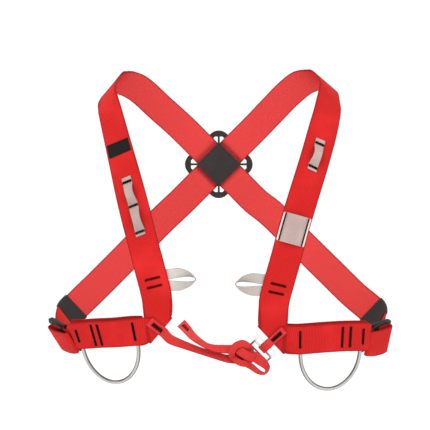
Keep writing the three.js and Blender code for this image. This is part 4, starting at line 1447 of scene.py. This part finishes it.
@dataclass
class Keeper:
    """A ribbed elastic sleeve round the end of a back strap."""

    side: Side
    route: Route
    finishes: Finishes
    gap: float = 0.0004
    parts: int = 16
    rolled: float = 0.85
    flat_parts: int = 4
    end_angle: float = 0.8

    def build(self) -> None:
        """Makes the sleeve with its rolled ends."""
        shift, length = KEEPER_SPAN[self.side]
        start = self.route.nearest(placed(self.side.value, *KEEPER_START[self.side])) + shift
        places = self.route.stretch(start, start + length, self.parts, self.side.other.value)
        inner = WEBBING_THICKNESS * HALF + self.gap
        walls = [
            KEEPER_WALL * (self.rolled + (1 - self.rolled) * math.sin(math.pi * k / self.parts))
            for k in range(self.parts + 1)
        ]
        outside = list(zip(places, walls))
        inside = [(place, 0.0) for place in reversed(places)]
        rings, marks = [], []
        for place, wall in (*outside, *inside):
            outline = self._outline(place.w.length + self.gap + wall, inner + wall)
            unit = place.w.normalized()
            rings.append([place.p + unit * a + place.n * b for a, b in outline])
            marks.append([(a, place.s) for a, _ in outline])
        solid = Solid()
        solid.loft(rings, marks, closed=True)
        name = f"{self.side.label}_keeper"
        settle(solid.build(f"{name}_elastic", self.finishes.elastic), "black_elastic", name)

    def _outline(self, half: float, thick: float) -> list[tuple[float, float]]:
        """A flat rounded section.

        Args:
            half: half its width in metres.
            thick: half its thickness in metres.

        Returns:
            The corners, turning from the lower left.
        """
        flat, parts = half - thick, self.flat_parts
        lower = [(flat * k / parts, -thick) for k in range(-parts, parts + 1)]
        angles = (-self.end_angle, 0.0, self.end_angle)
        right = [(flat + thick * math.cos(a), thick * math.sin(a)) for a in angles]
        upper = [(-a, -b) for a, b in lower]
        left = [(-a, -b) for a, b in right]
        return [*lower, *right, *upper, *left]


@dataclass
class SteelRing:
    """A steel ring whose bar lies between the two layers of a chest band."""

    side: Side
    finishes: Finishes
    parts: int = 48
    corner_parts: int = 6
    sides: int = 24

    def build(self) -> None:
        """Makes the ring."""
        sign = self.side.value
        band = band_stations(self.side)
        line = [station.p for station, _ in band[1:]]
        first, last, swing = RING_LEGS[self.side]

        def on_layer(share: float) -> Vector:
            """A point of the outer layer at a share of the half width."""
            q = (sign * share * CHEST_HALF_WIDTH - line[0].x) / (line[-1].x - line[0].x)
            return line[0].lerp(line[-1], q)

        inner, outer = on_layer(first), on_layer(last)
        half = (outer - inner).length * HALF
        along = (outer - inner).normalized()
        middle, out = band[len(band) // 2]
        up = (middle.w - along * middle.w.dot(along)).normalized()
        bar = inner.lerp(outer, HALF) - out * (CHANNEL_STEP * HALF)
        turn = math.radians(swing)
        level = along * math.cos(turn) + up * math.sin(turn)
        upright = up * math.cos(turn) - along * math.sin(turn)
        points = [bar + level * a + upright * b for a, b in self._outline(half)]
        solid = Solid()
        # The corners are counted from the band's outward normal, so that the wire's painted shade falls on
        # its sides in the ring's plane.
        solid.tube(points, RING_SHOWN * HALF, self.sides, closed=True, reference=out)
        name = f"{self.side.label}_ring"
        settle(solid.build(f"{name}_steel", self.finishes.wire), "steel_wire", name)

    def _outline(self, half: float) -> list[tuple[float, float]]:
        """The ring's line in its own plane: a bar with two rounded corners, and the bow below.

        Args:
            half: half the ring's width in metres.

        Returns:
            Points along and up from the bar's middle.
        """
        knee = half - RING_CORNER
        quarter = [math.pi / 2 * k / self.corner_parts for k in range(self.corner_parts + 1)]
        right = [(knee + RING_CORNER * math.sin(a), RING_CORNER * (math.cos(a) - 1)) for a in quarter]
        angles = [math.pi * k / self.parts for k in range(self.parts + 1)]
        hang, leg = RING_HANG[self.side], -WEBBING_WIDTH * HALF
        bow = [(half * math.cos(a), leg - hang * math.sin(a)) for a in angles]
        left = [(-a, b) for a, b in reversed(right)]
        return [*right, *bow, *left]


@dataclass
class StrapLabel:
    """The sewn label, without lettering."""

    route: Route
    finishes: Finishes
    drop: float = 0.29
    parts: int = 12
    thickness: float = 0.001
    rise: float = 0.0005
    seam: float = 0.93
    inset: float = 0.001
    end_inset: float = 0.0012
    side_marks: int = 17
    end_marks: int = 31

    def build(self) -> None:
        """Makes the label and the stitches round it."""
        middle = self.route.at_drop(self.drop)
        start, end = middle - LABEL_LENGTH * HALF, middle + LABEL_LENGTH * HALF
        share = LABEL_WIDTH / WEBBING_WIDTH
        lift = ON_WEBBING + self.rise
        solid = Solid()
        solid.ribbon(
            [
                slanted(Place(q.p, q.w * share, q.t, q.n, q.s), -SLANT)
                for q in self.route.stretch(start, end, self.parts, -1)
            ],
            self.thickness, lift=lift,
        )
        settle(solid.build("strap_label_cloth", self.finishes.label), "black_label", "blank_label")
        thread = Solid()
        top = lift + self.thickness * HALF
        row = self.route.stretch(start + self.inset, end - self.inset, self.side_marks, -1)
        row = [slanted(q, -SLANT) for q in row]
        for a in (-self.seam, self.seam):
            running_stitch(thread, [q.point(a * share, top) for q in row], [q.n for q in row])
        for s in (start + self.end_inset, end - self.end_inset):
            q = slanted(self.route.at(s, -1), -SLANT)
            marks = [2 * k / self.end_marks - 1 for k in range(self.end_marks + 1)]
            points = [q.point(share * self.seam * a, top) for a in marks]
            running_stitch(thread, points, [q.n] * len(points))
        settle(thread.build("strap_label_stitching", self.finishes.black))


@dataclass
class GearLoop:
    """A tape sewn down at its tacks, which stands off the strap between them."""

    side: Side
    route: Route
    finishes: Finishes
    flat: float = 0.0035
    first_flats: int = 2
    last_flats: float = 1.5
    parts: int = 16
    steps: int = 2
    bulge: float = 1.2
    gather: float = 0.16
    gap: float = 0.0002
    tack_share: float = 0.92
    style: TackStyle = TackStyle(0.0032, 56, 0.00065)

    def build(self) -> None:
        """Makes the tape and its tacks."""
        sign = self.side.value
        tacks = [self.route.at_drop(drop) for drop in GEAR_LOOPS[self.side]]
        lift = ON_WEBBING + TAPE_THICKNESS * HALF + self.gap
        stations = []
        for s, rise in self._marks(tacks):
            q = slanted(self.route.at(s, sign), sign * SLANT)
            gathered = 1.0 - self.gather * rise / GEAR_LOOP_RISE
            stations.append(
                Station(q.p + q.n * (lift + rise), q.w.normalized() * TAPE_WIDTH * HALF * gathered)
            )
        solid = Solid()
        places = Route(smooth(stations, self.steps)).places
        solid.ribbon(places, TAPE_THICKNESS, edge=TAPE_WIDTH * HALF)
        name = f"{self.side.label}_gear_loop"
        settle(solid.build(f"{name}_tape", self.finishes.tape), "grey_tape", name)
        thread = Solid()
        share = TAPE_WIDTH / WEBBING_WIDTH * self.tack_share
        top = lift + TAPE_THICKNESS * HALF + STITCH_RISE
        for s in tacks:
            q = slanted(self.route.at(s, sign), sign * SLANT)
            tack(thread, lambda a, d, m=q: m.point(share * (2 * a - 1), top) + m.t * d, self.style)
        settle(thread.build(f"{name}_stitching", self.finishes.black))

    def _marks(self, tacks: Sequence[float]) -> list[tuple[float, float]]:
        """The tape's line over the strap.

        Args:
            tacks: the strap's length at each tack.

        Returns:
            The strap's length and the tape's rise at each mark, from the top down.
        """
        marks = [(tacks[0] + self.first_flats * self.flat, 0.0), (tacks[0] + self.flat, 0.0)]
        for here, below in zip(tacks, tacks[1:]):
            marks.append((here, 0.0))
            start = here - self.flat
            span = start - (below + self.flat)
            for k in range(self.parts + 1):
                q = k / self.parts
                marks.append((start - span * q, GEAR_LOOP_RISE * math.sin(math.pi * q) ** self.bulge))
        return [*marks, (tacks[-1], 0.0), (tacks[-1] - self.last_flats * self.flat, 0.0)]


@dataclass
class StrapSleeve:
    """A crowned panel sewn down along both sides on the right front strap."""

    route: Route
    finishes: Finishes
    drop: float = 0.58
    wall: float = 0.0015
    seam: float = 0.0035
    lip: float = 0.0015
    lip_wall: float = 0.5
    parts: int = 20
    crown_parts: int = 12
    inset: float = 0.001
    marks: int = 43
    stitch_in: float = 0.0038
    stitch_walls: float = 1.5
    stitch_radius: float = 0.0011
    thread_radius: float = 0.0007
    rim_in: float = 0.0014
    rim_half: float = 0.0013
    rim_wall: float = 0.0012

    def build(self) -> None:
        """Makes the panel, its two rows of stitches and its woven rims."""
        middle = self.route.at_drop(self.drop)
        start, end = middle - SLEEVE_LENGTH * HALF, middle + SLEEVE_LENGTH * HALF
        half = SLEEVE_WIDTH * HALF
        section = self._section(half)
        rings, uvs = [], []
        for place in self.route.stretch(start, end, self.parts, 1):
            unit = place.w.normalized()
            rings.append([place.p + unit * a + place.n * b for a, b in section])
            uvs.append([(a * SLEEVE_RIM / half, place.s) for a, _ in section])
        solid = Solid()
        solid.loft(rings, uvs)
        settle(solid.build("strap_sleeve_panel", self.finishes.tape), "grey_tape", "strap_sleeve")
        thread, rims = Solid(), Solid()
        row = self.route.stretch(start + self.inset, end - self.inset, self.marks, 1)
        for way in (-1, 1):
            across = way * (half - self.stitch_in)
            points = [
                q.p + q.w.normalized() * across + q.n * (ON_WEBBING + self.wall * self.stitch_walls)
                for q in row
            ]
            running_stitch(thread, points, [q.n for q in row], self.stitch_radius)
            thread.tube(points, self.thread_radius, 6)
            across = way * (half - self.rim_in)
            rim = [
                Place(
                    q.p + q.w.normalized() * across + q.n * (ON_WEBBING + self.wall),
                    q.w.normalized() * self.rim_half, q.t, q.n, q.s,
                )
                for q in row
            ]
            rims.ribbon(rim, self.rim_wall)
        settle(thread.build("strap_sleeve_stitching", self.finishes.black))
        settle(rims.build("strap_sleeve_rims", self.finishes.rim), "grey_tape")

    def _section(self, half: float) -> list[tuple[float, float]]:
        """The panel's section: flat lips with a crown between them.

        Args:
            half: half the panel's width in metres.

        Returns:
            The corners, along the underside and back over the top.
        """
        free = half - self.seam
        under = [(-half, ON_WEBBING), (-half + self.lip, ON_WEBBING)]
        for k in range(self.crown_parts + 1):
            a = free * (2 * k / self.crown_parts - 1)
            under.append((a, ON_WEBBING + SLEEVE_CROWN * (1 - (a / free) ** 2)))
        under += [(half - self.lip, ON_WEBBING), (half, ON_WEBBING)]
        over = [
            (a, b + self.wall * (self.lip_wall if abs(a) == half else 1.0)) for a, b in reversed(under)
        ]
        return [*under, *over]


@dataclass
class SideLoop:
    """A loop of tape sewn behind a front strap, which points inward."""

    side: Side
    route: Route
    finishes: Finishes
    gap: float = 0.0008
    steps: int = 10

    def build(self) -> None:
        """Makes the loop."""
        sign = self.side.value
        q = self.route.at(self.route.at_drop(SIDE_LOOP_DROP[self.side]), sign)
        root = q.p - q.n * (ON_WEBBING + TAPE_THICKNESS * HALF + self.gap)

        def flat(direction: Vector) -> Vector:
            """A direction turned into the strap's own face."""
            return (direction - q.n * direction.dot(q.n)).normalized()

        inward, upward = flat(Vector((-sign, 0.0, 0.0))), flat(Vector((0.0, 0.0, 1.0)))
        stations = []
        for reach, rise, twist in SIDE_LOOP:
            angle = math.radians(twist)
            along = inward * (WEBBING_WIDTH * HALF + reach * SIDE_LOOP_REACH)
            stations.append(Station(
                root + along + upward * (rise * SIDE_LOOP_SPLIT),
                (upward * math.cos(angle) + q.n * math.sin(angle)) * (TAPE_WIDTH * HALF),
            ))
        solid = Solid()
        solid.ribbon(Route(smooth(stations, self.steps)).places, TAPE_THICKNESS)
        name = f"{self.side.label}_side_loop"
        settle(solid.build(f"{name}_tape", self.finishes.pale), "grey_tape", name)


def tape_run(rows: Sequence[tuple[float, ...]]) -> list[Station]:
    """Free tape through the rows of a table.

    Args:
        rows: across, depth, drop, lean and turn.

    Returns:
        The stations.
    """
    return [Station(placed(1, *row[:3]), width_vector(1, row[3], row[4], TAPE_WIDTH)) for row in rows]


def on_corner(corner: CornerFrame, distances: Sequence[float], off: float) -> list[Station]:
    """Tape along a corner's diagonal.

    Args:
        corner: the corner's plane.
        distances: metres along the diagonal, down and inward.
        off: metres above the corner's middle surface.

    Returns:
        The stations.
    """
    across = corner.out.cross(corner.away).normalized() * (TAPE_WIDTH * HALF)
    return [Station(corner.c + corner.away * d + corner.out * off, across.copy()) for d in distances]


@dataclass
class ClosingStrap:
    """The narrow strap sewn to the left corner, its knot, tail and bight."""

    finishes: Finishes
    sewn: float = 0.0225
    gap: float = 0.0003
    steps: int = 8
    corner_tack: TackStyle = TackStyle(0.0058, 46, 0.0007)
    corner_tack_span: tuple[float, float] = (0.006, 0.018)
    tail_tack: TackStyle = TackStyle(0.0046, 22)
    tail_tack_span: tuple[float, float] = (0.004, 0.011)
    tail_tack_place: float = 0.006
    tail_tack_rise: float = 0.0011
    core_rings: int = 12
    core_sides: int = 20

    def build(self) -> None:
        """Makes the strap, the knot and the stitches."""
        corner = CornerFrame(Side.LEFT, CORNER_DRAWN[Side.LEFT])
        lift = ON_WEBBING + TAPE_THICKNESS * HALF + self.gap
        start = on_corner(corner, (-self.sewn, -self.sewn * HALF, 0.0, SEWN_STEP * 2), lift)
        run = tape_run(STANDING_RUN)
        if start[0].w.dot(run[0].w) < 0:
            for station in start:
                station.w = -station.w
        tail = Route(smooth(tape_run(TAIL_RUN), self.steps))
        solid = Solid()
        for route in (
            Route(smooth([*start, *run], self.steps)), tail, Route(smooth(tape_run(BIGHT_RUN), self.steps)),
        ):
            solid.ribbon(route.places, TAPE_THICKNESS)
        self._knot(solid)
        settle(solid.build("closing_strap_tape", self.finishes.narrow), "red_webbing", "closing_strap")
        self._stitches(corner, lift, start[0].w.normalized(), tail)

    def _stitches(self, corner: CornerFrame, lift: float, across: Vector, tail: Route) -> None:
        """Makes the tack on the corner and the one at the free tail's end.

        Args:
            corner: the corner's plane.
            lift: the tape's height above it.
            across: the tape's width on the corner.
            tail: the free tail's line.
        """
        thread = Solid()
        base = corner.c + corner.out * (lift + TAPE_THICKNESS * HALF + STITCH_RISE)
        first, span = self.corner_tack_span
        tack(
            thread,
            lambda q, d: base + corner.away * (-self.sewn + first + span * q) + across * d,
            self.corner_tack,
        )
        start, length = self.tail_tack_span
        width = tail.at(self.tail_tack_place)
        rise = self.tail_tack_rise * (-1 if width.n.y > 0 else 1)
        tack(
            thread,
            lambda a, d: tail.at(start + length * a).point(0.0, rise) + width.w.normalized() * d,
            self.tail_tack,
        )
        settle(thread.build("closing_strap_stitching", self.finishes.black))

    def _knot(self, solid: Solid) -> None:
        """Adds the knot's wraps and, in its own piece, a dark red core between them that is painted shadow
        inside the knot.

        Args:
            solid: what the wraps are added to.
        """
        front = Vector((0.0, -1.0, 0.0))
        for half, rows in KNOT_WRAPS:
            points = [placed(1, *row) for row in rows]
            stations = []
            for i, point in enumerate(points):
                t = (points[min(i + 1, len(points) - 1)] - points[max(i - 1, 0)]).normalized()
                stations.append(Station(point, t.cross(front).normalized() * half))
            places = Route(smooth(stations, self.steps)).places
            # The wraps are told the full tape's half width, so that the finish darkens their edges as
            # painted shade between the wraps.
            solid.ribbon(places, TAPE_THICKNESS, edge=TAPE_WIDTH * HALF)
        # The core is a dark body put where there is only shade between the wraps: painted shadow.
        centre, (wide, deep, tall) = placed(1, *KNOT_CENTRE), KNOT_CORE
        turns = [2 * math.pi * j / self.core_sides for j in range(self.core_sides)]
        rings, marks = [], []
        for k in range(1, self.core_rings):
            polar = math.pi * k / self.core_rings
            girth, height = math.sin(polar), tall * math.cos(polar)
            rings.append([
                centre + Vector((wide * girth * math.cos(a), deep * girth * math.sin(a), height))
                for a in turns
            ])
            marks.append([(wide * math.sin(a), tall * polar) for a in turns])
        core = Solid()
        core.loft(rings, marks)
        settle(core.build("closing_strap_knot_shadow_core", self.finishes.painted_knot_shadow), "red_webbing")


@dataclass
class ClosingTab:
    """The tab that holds the clasp's middle bar to the right corner."""

    finishes: Finishes
    hang: float = 0.020
    off: float = 0.0032
    bar: float = 0.0032
    bar_gap: float = 0.0003
    gap: float = 0.0004
    depth: float = 0.022
    sewn: float = 0.0225
    width: float = 0.0125
    wrap_parts: int = 6
    steps: int = 2
    fineness: int = 4
    style: TackStyle = TackStyle(0.0054, 48, 0.0007)
    tack_span: tuple[float, float] = (0.005, 0.019)

    def build(self) -> None:
        """Makes the tab and its tack."""
        corner = CornerFrame(Side.RIGHT)
        centre = corner.c + corner.away * self.hang + corner.out * self.off
        long = corner.out.cross(corner.away).normalized()
        wrap = self.bar * HALF * math.sqrt(2) + self.bar_gap + TAPE_THICKNESS * HALF
        half = long * (self.width * HALF)
        turn = turn_round(centre, corner.out, corner.away, wrap, half, self.wrap_parts)

        def beside(way: int) -> Station:
            """A station before or behind the bar, on the corner's side of it."""
            back = corner.away * (self.depth * HALF)
            return Station(centre - back + corner.out * (way * wrap), half.copy(), steps=2)

        under = ON_WEBBING + TAPE_THICKNESS * HALF + self.gap
        upper = under + TAPE_THICKNESS + LAYER_GAP
        back = on_corner(corner, (0.0, -self.sewn), under)
        front = on_corner(corner, (-self.sewn, 0.0), upper)
        for station in (*back, *front):
            station.w = half.copy()
        stations = [*front, beside(1), *turn, beside(-1), *back]
        solid = Solid()
        places = Route(smooth(stations, self.steps, self.fineness)).places
        solid.ribbon(places, TAPE_THICKNESS, edge=TAPE_WIDTH * HALF)
        settle(solid.build("closing_tab_tape", self.finishes.narrow), "red_webbing", "closing_tab")
        thread = Solid()
        base = corner.c + corner.out * (upper + TAPE_THICKNESS * HALF + STITCH_RISE)
        first, span = self.tack_span
        tack(
            thread,
            lambda q, d: base + corner.away * (-self.sewn + first + span * q) + long * d,
            self.style,
        )
        settle(thread.build("closing_tab_stitching", self.finishes.black))


@dataclass
class BuckleRail:
    """The moulded upper rail of a side buckle, which stands over the rolled tail."""

    side: Side
    finishes: Finishes
    thick: float = 0.0095
    deep: float = 0.0080
    cuts: int = 5
    slimmer: float = 0.2
    rise: float = 0.0022
    outward: tuple[float, float, float] = (0.0, -0.6, 0.8)

    def build(self) -> None:
        """Makes the rail from a block that is cut, bowed, turned into place and rounded."""
        start, end = (Vector(point) for point in BUCKLE_RAIL[self.side])
        along = (end - start).normalized()
        out = Vector(self.outward)
        out = (out - along * out.dot(along)).normalized()
        side = along.cross(out)
        bpy.ops.object.select_all(action="DESELECT")
        bpy.ops.mesh.primitive_cube_add(size=1.0)
        rail = bpy.context.active_object
        rail.name = f"{self.side.label}_side_buckle_rail"
        bpy.ops.object.mode_set(mode="EDIT")
        bpy.ops.mesh.select_all(action="SELECT")
        bpy.ops.mesh.subdivide(number_cuts=self.cuts)
        bpy.ops.object.mode_set(mode="OBJECT")
        length, centre = (end - start).length, (start + end) * HALF
        for vertex in rail.data.vertices:
            x, y, z = vertex.co
            slim = 1.0 - self.slimmer * (2 * abs(x)) ** 3
            bow = self.rise * (1 - (2 * x) ** 2)
            place = centre + along * (x * length)
            vertex.co = place + side * (y * self.deep * slim) + out * (z * self.thick * slim + bow)
        soft = rail.modifiers.new("soft", "SUBSURF")
        soft.levels = soft.render_levels = 2
        bpy.ops.object.modifier_apply(modifier="soft")
        rail.data.materials.append(self.finishes.buckle)
        bpy.ops.object.shade_smooth_by_angle(angle=math.radians(SMOOTH_BELOW))
        settle(rail, "black_plastic")


@dataclass
class Hardware:
    """The moulded and steel parts that keep the shape of their nodes."""

    finishes: Finishes

    def build(self) -> None:
        """Gives each hard node its finish."""
        dressed = {
            "left_side_buckle": (self.finishes.buckle, "black_plastic"),
            "right_side_buckle": (self.finishes.buckle, "black_plastic"),
            "back_cross_plate": (self.finishes.plastic, "black_plastic"),
            "closing_clasp": (self.finishes.clasp, "steel_clasp"),
        }
        for name, (material, slot) in dressed.items():
            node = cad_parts[name]
            node.data.materials.clear()
            node.data.materials.append(material)
            LOG.info("%s keeps its node", name)


@dataclass
class Studio:
    """A pale floor, soft light and the photo's camera."""

    floor_drop: float = 0.62
    floor_size: float = 60.0
    floor_tones: tuple[float, float] = (0.96, 0.98)
    floor_cloud: float = 3.0
    floor_roughness: float = 0.8
    camera_place: tuple[float, float, float] = (-0.00584, -3.3, -0.2168)
    lamps: tuple[tuple, ...] = (
        ("key", (-1.3, -2.2, 1.5), 2.2, 36.0),
        ("fill", (1.6, -2.0, 0.4), 2.4, 14.0),
        ("top", (0.0, 0.3, 2.4), 2.0, 16.0),
    )
    lens: float = 183.5
    sensor: float = 36.0
    world: float = 1.08
    aim: tuple[float, float, float] = (0.0, 0.0, -0.22)

    def build(self) -> None:
        """Makes the camera, lights, world and floor."""
        self._camera()
        self._world()
        for lamp in self.lamps:
            self._light(*lamp)
        self._floor()

    def _floor(self) -> None:
        """Makes the floor with its faint cloud of tone."""
        bpy.ops.mesh.primitive_plane_add(size=self.floor_size, location=(0.0, 0.0, -self.floor_drop))
        floor = bpy.context.active_object
        floor.name = "floor"
        g = Graph("pale_floor")
        low, high = ((tone, tone, tone) for tone in self.floor_tones)
        cloud = g.mix(g.noise(self.floor_cloud), low, high)
        floor.data.materials.append(g.finish(Base_Color=cloud, Roughness=self.floor_roughness))

    def _camera(self) -> None:
        """Puts the camera where the photo was taken from."""
        camera = bpy.data.objects.new("camera", bpy.data.cameras.new("camera"))
        bpy.context.scene.collection.objects.link(camera)
        camera.location = self.camera_place
        camera.rotation_euler = (math.pi / 2, 0.0, 0.0)
        camera.data.lens = self.lens
        camera.data.sensor_width = self.sensor
        bpy.context.scene.camera = camera

    def _world(self) -> None:
        """Makes the even white surroundings."""
        world = bpy.data.worlds.new("studio")
        world.use_nodes = True
        background = world.node_tree.nodes["Background"]
        background.inputs["Color"].default_value = (1.0, 1.0, 1.0, 1.0)
        background.inputs["Strength"].default_value = self.world
        bpy.context.scene.world = world
        bpy.context.scene.view_settings.view_transform = "Standard"

    def _light(self, name: str, place: Sequence[float], size: float, power: float) -> None:
        """Makes a square lamp that looks at the harness.

        Args:
            name: the lamp's name.
            place: where it stands.
            size: its side in metres.
            power: its power in watts.
        """
        data = bpy.data.lights.new(name, "AREA")
        data.size, data.energy = size, power
        lamp = bpy.data.objects.new(name, data)
        bpy.context.scene.collection.objects.link(lamp)
        lamp.location = place
        towards = Vector(self.aim) - Vector(place)
        lamp.rotation_euler = towards.to_track_quat("-Z", "Y").to_euler()


def main() -> None:
    """Builds the harness, then the studio."""
    logging.basicConfig(level=logging.INFO, format="%(name)s %(message)s")
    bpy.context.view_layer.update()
    finishes = Finishes()
    straps = {side: MainStrap(side, finishes) for side in Side}
    for strap in straps.values():
        strap.build()
    for side in Side:
        Keeper(side, straps[side.other].route, finishes).build()
        SteelRing(side, finishes).build()
        GearLoop(side, straps[side].route, finishes).build()
        SideLoop(side, straps[side].route, finishes).build()
    StrapLabel(straps[Side.LEFT].route, finishes).build()
    StrapSleeve(straps[Side.RIGHT].route, finishes).build()
    ClosingStrap(finishes).build()
    ClosingTab(finishes).build()
    for side in Side:
        BuckleRail(side, finishes).build()
    Hardware(finishes).build()
    Studio().build()


if __name__ == "__main__":
    main()
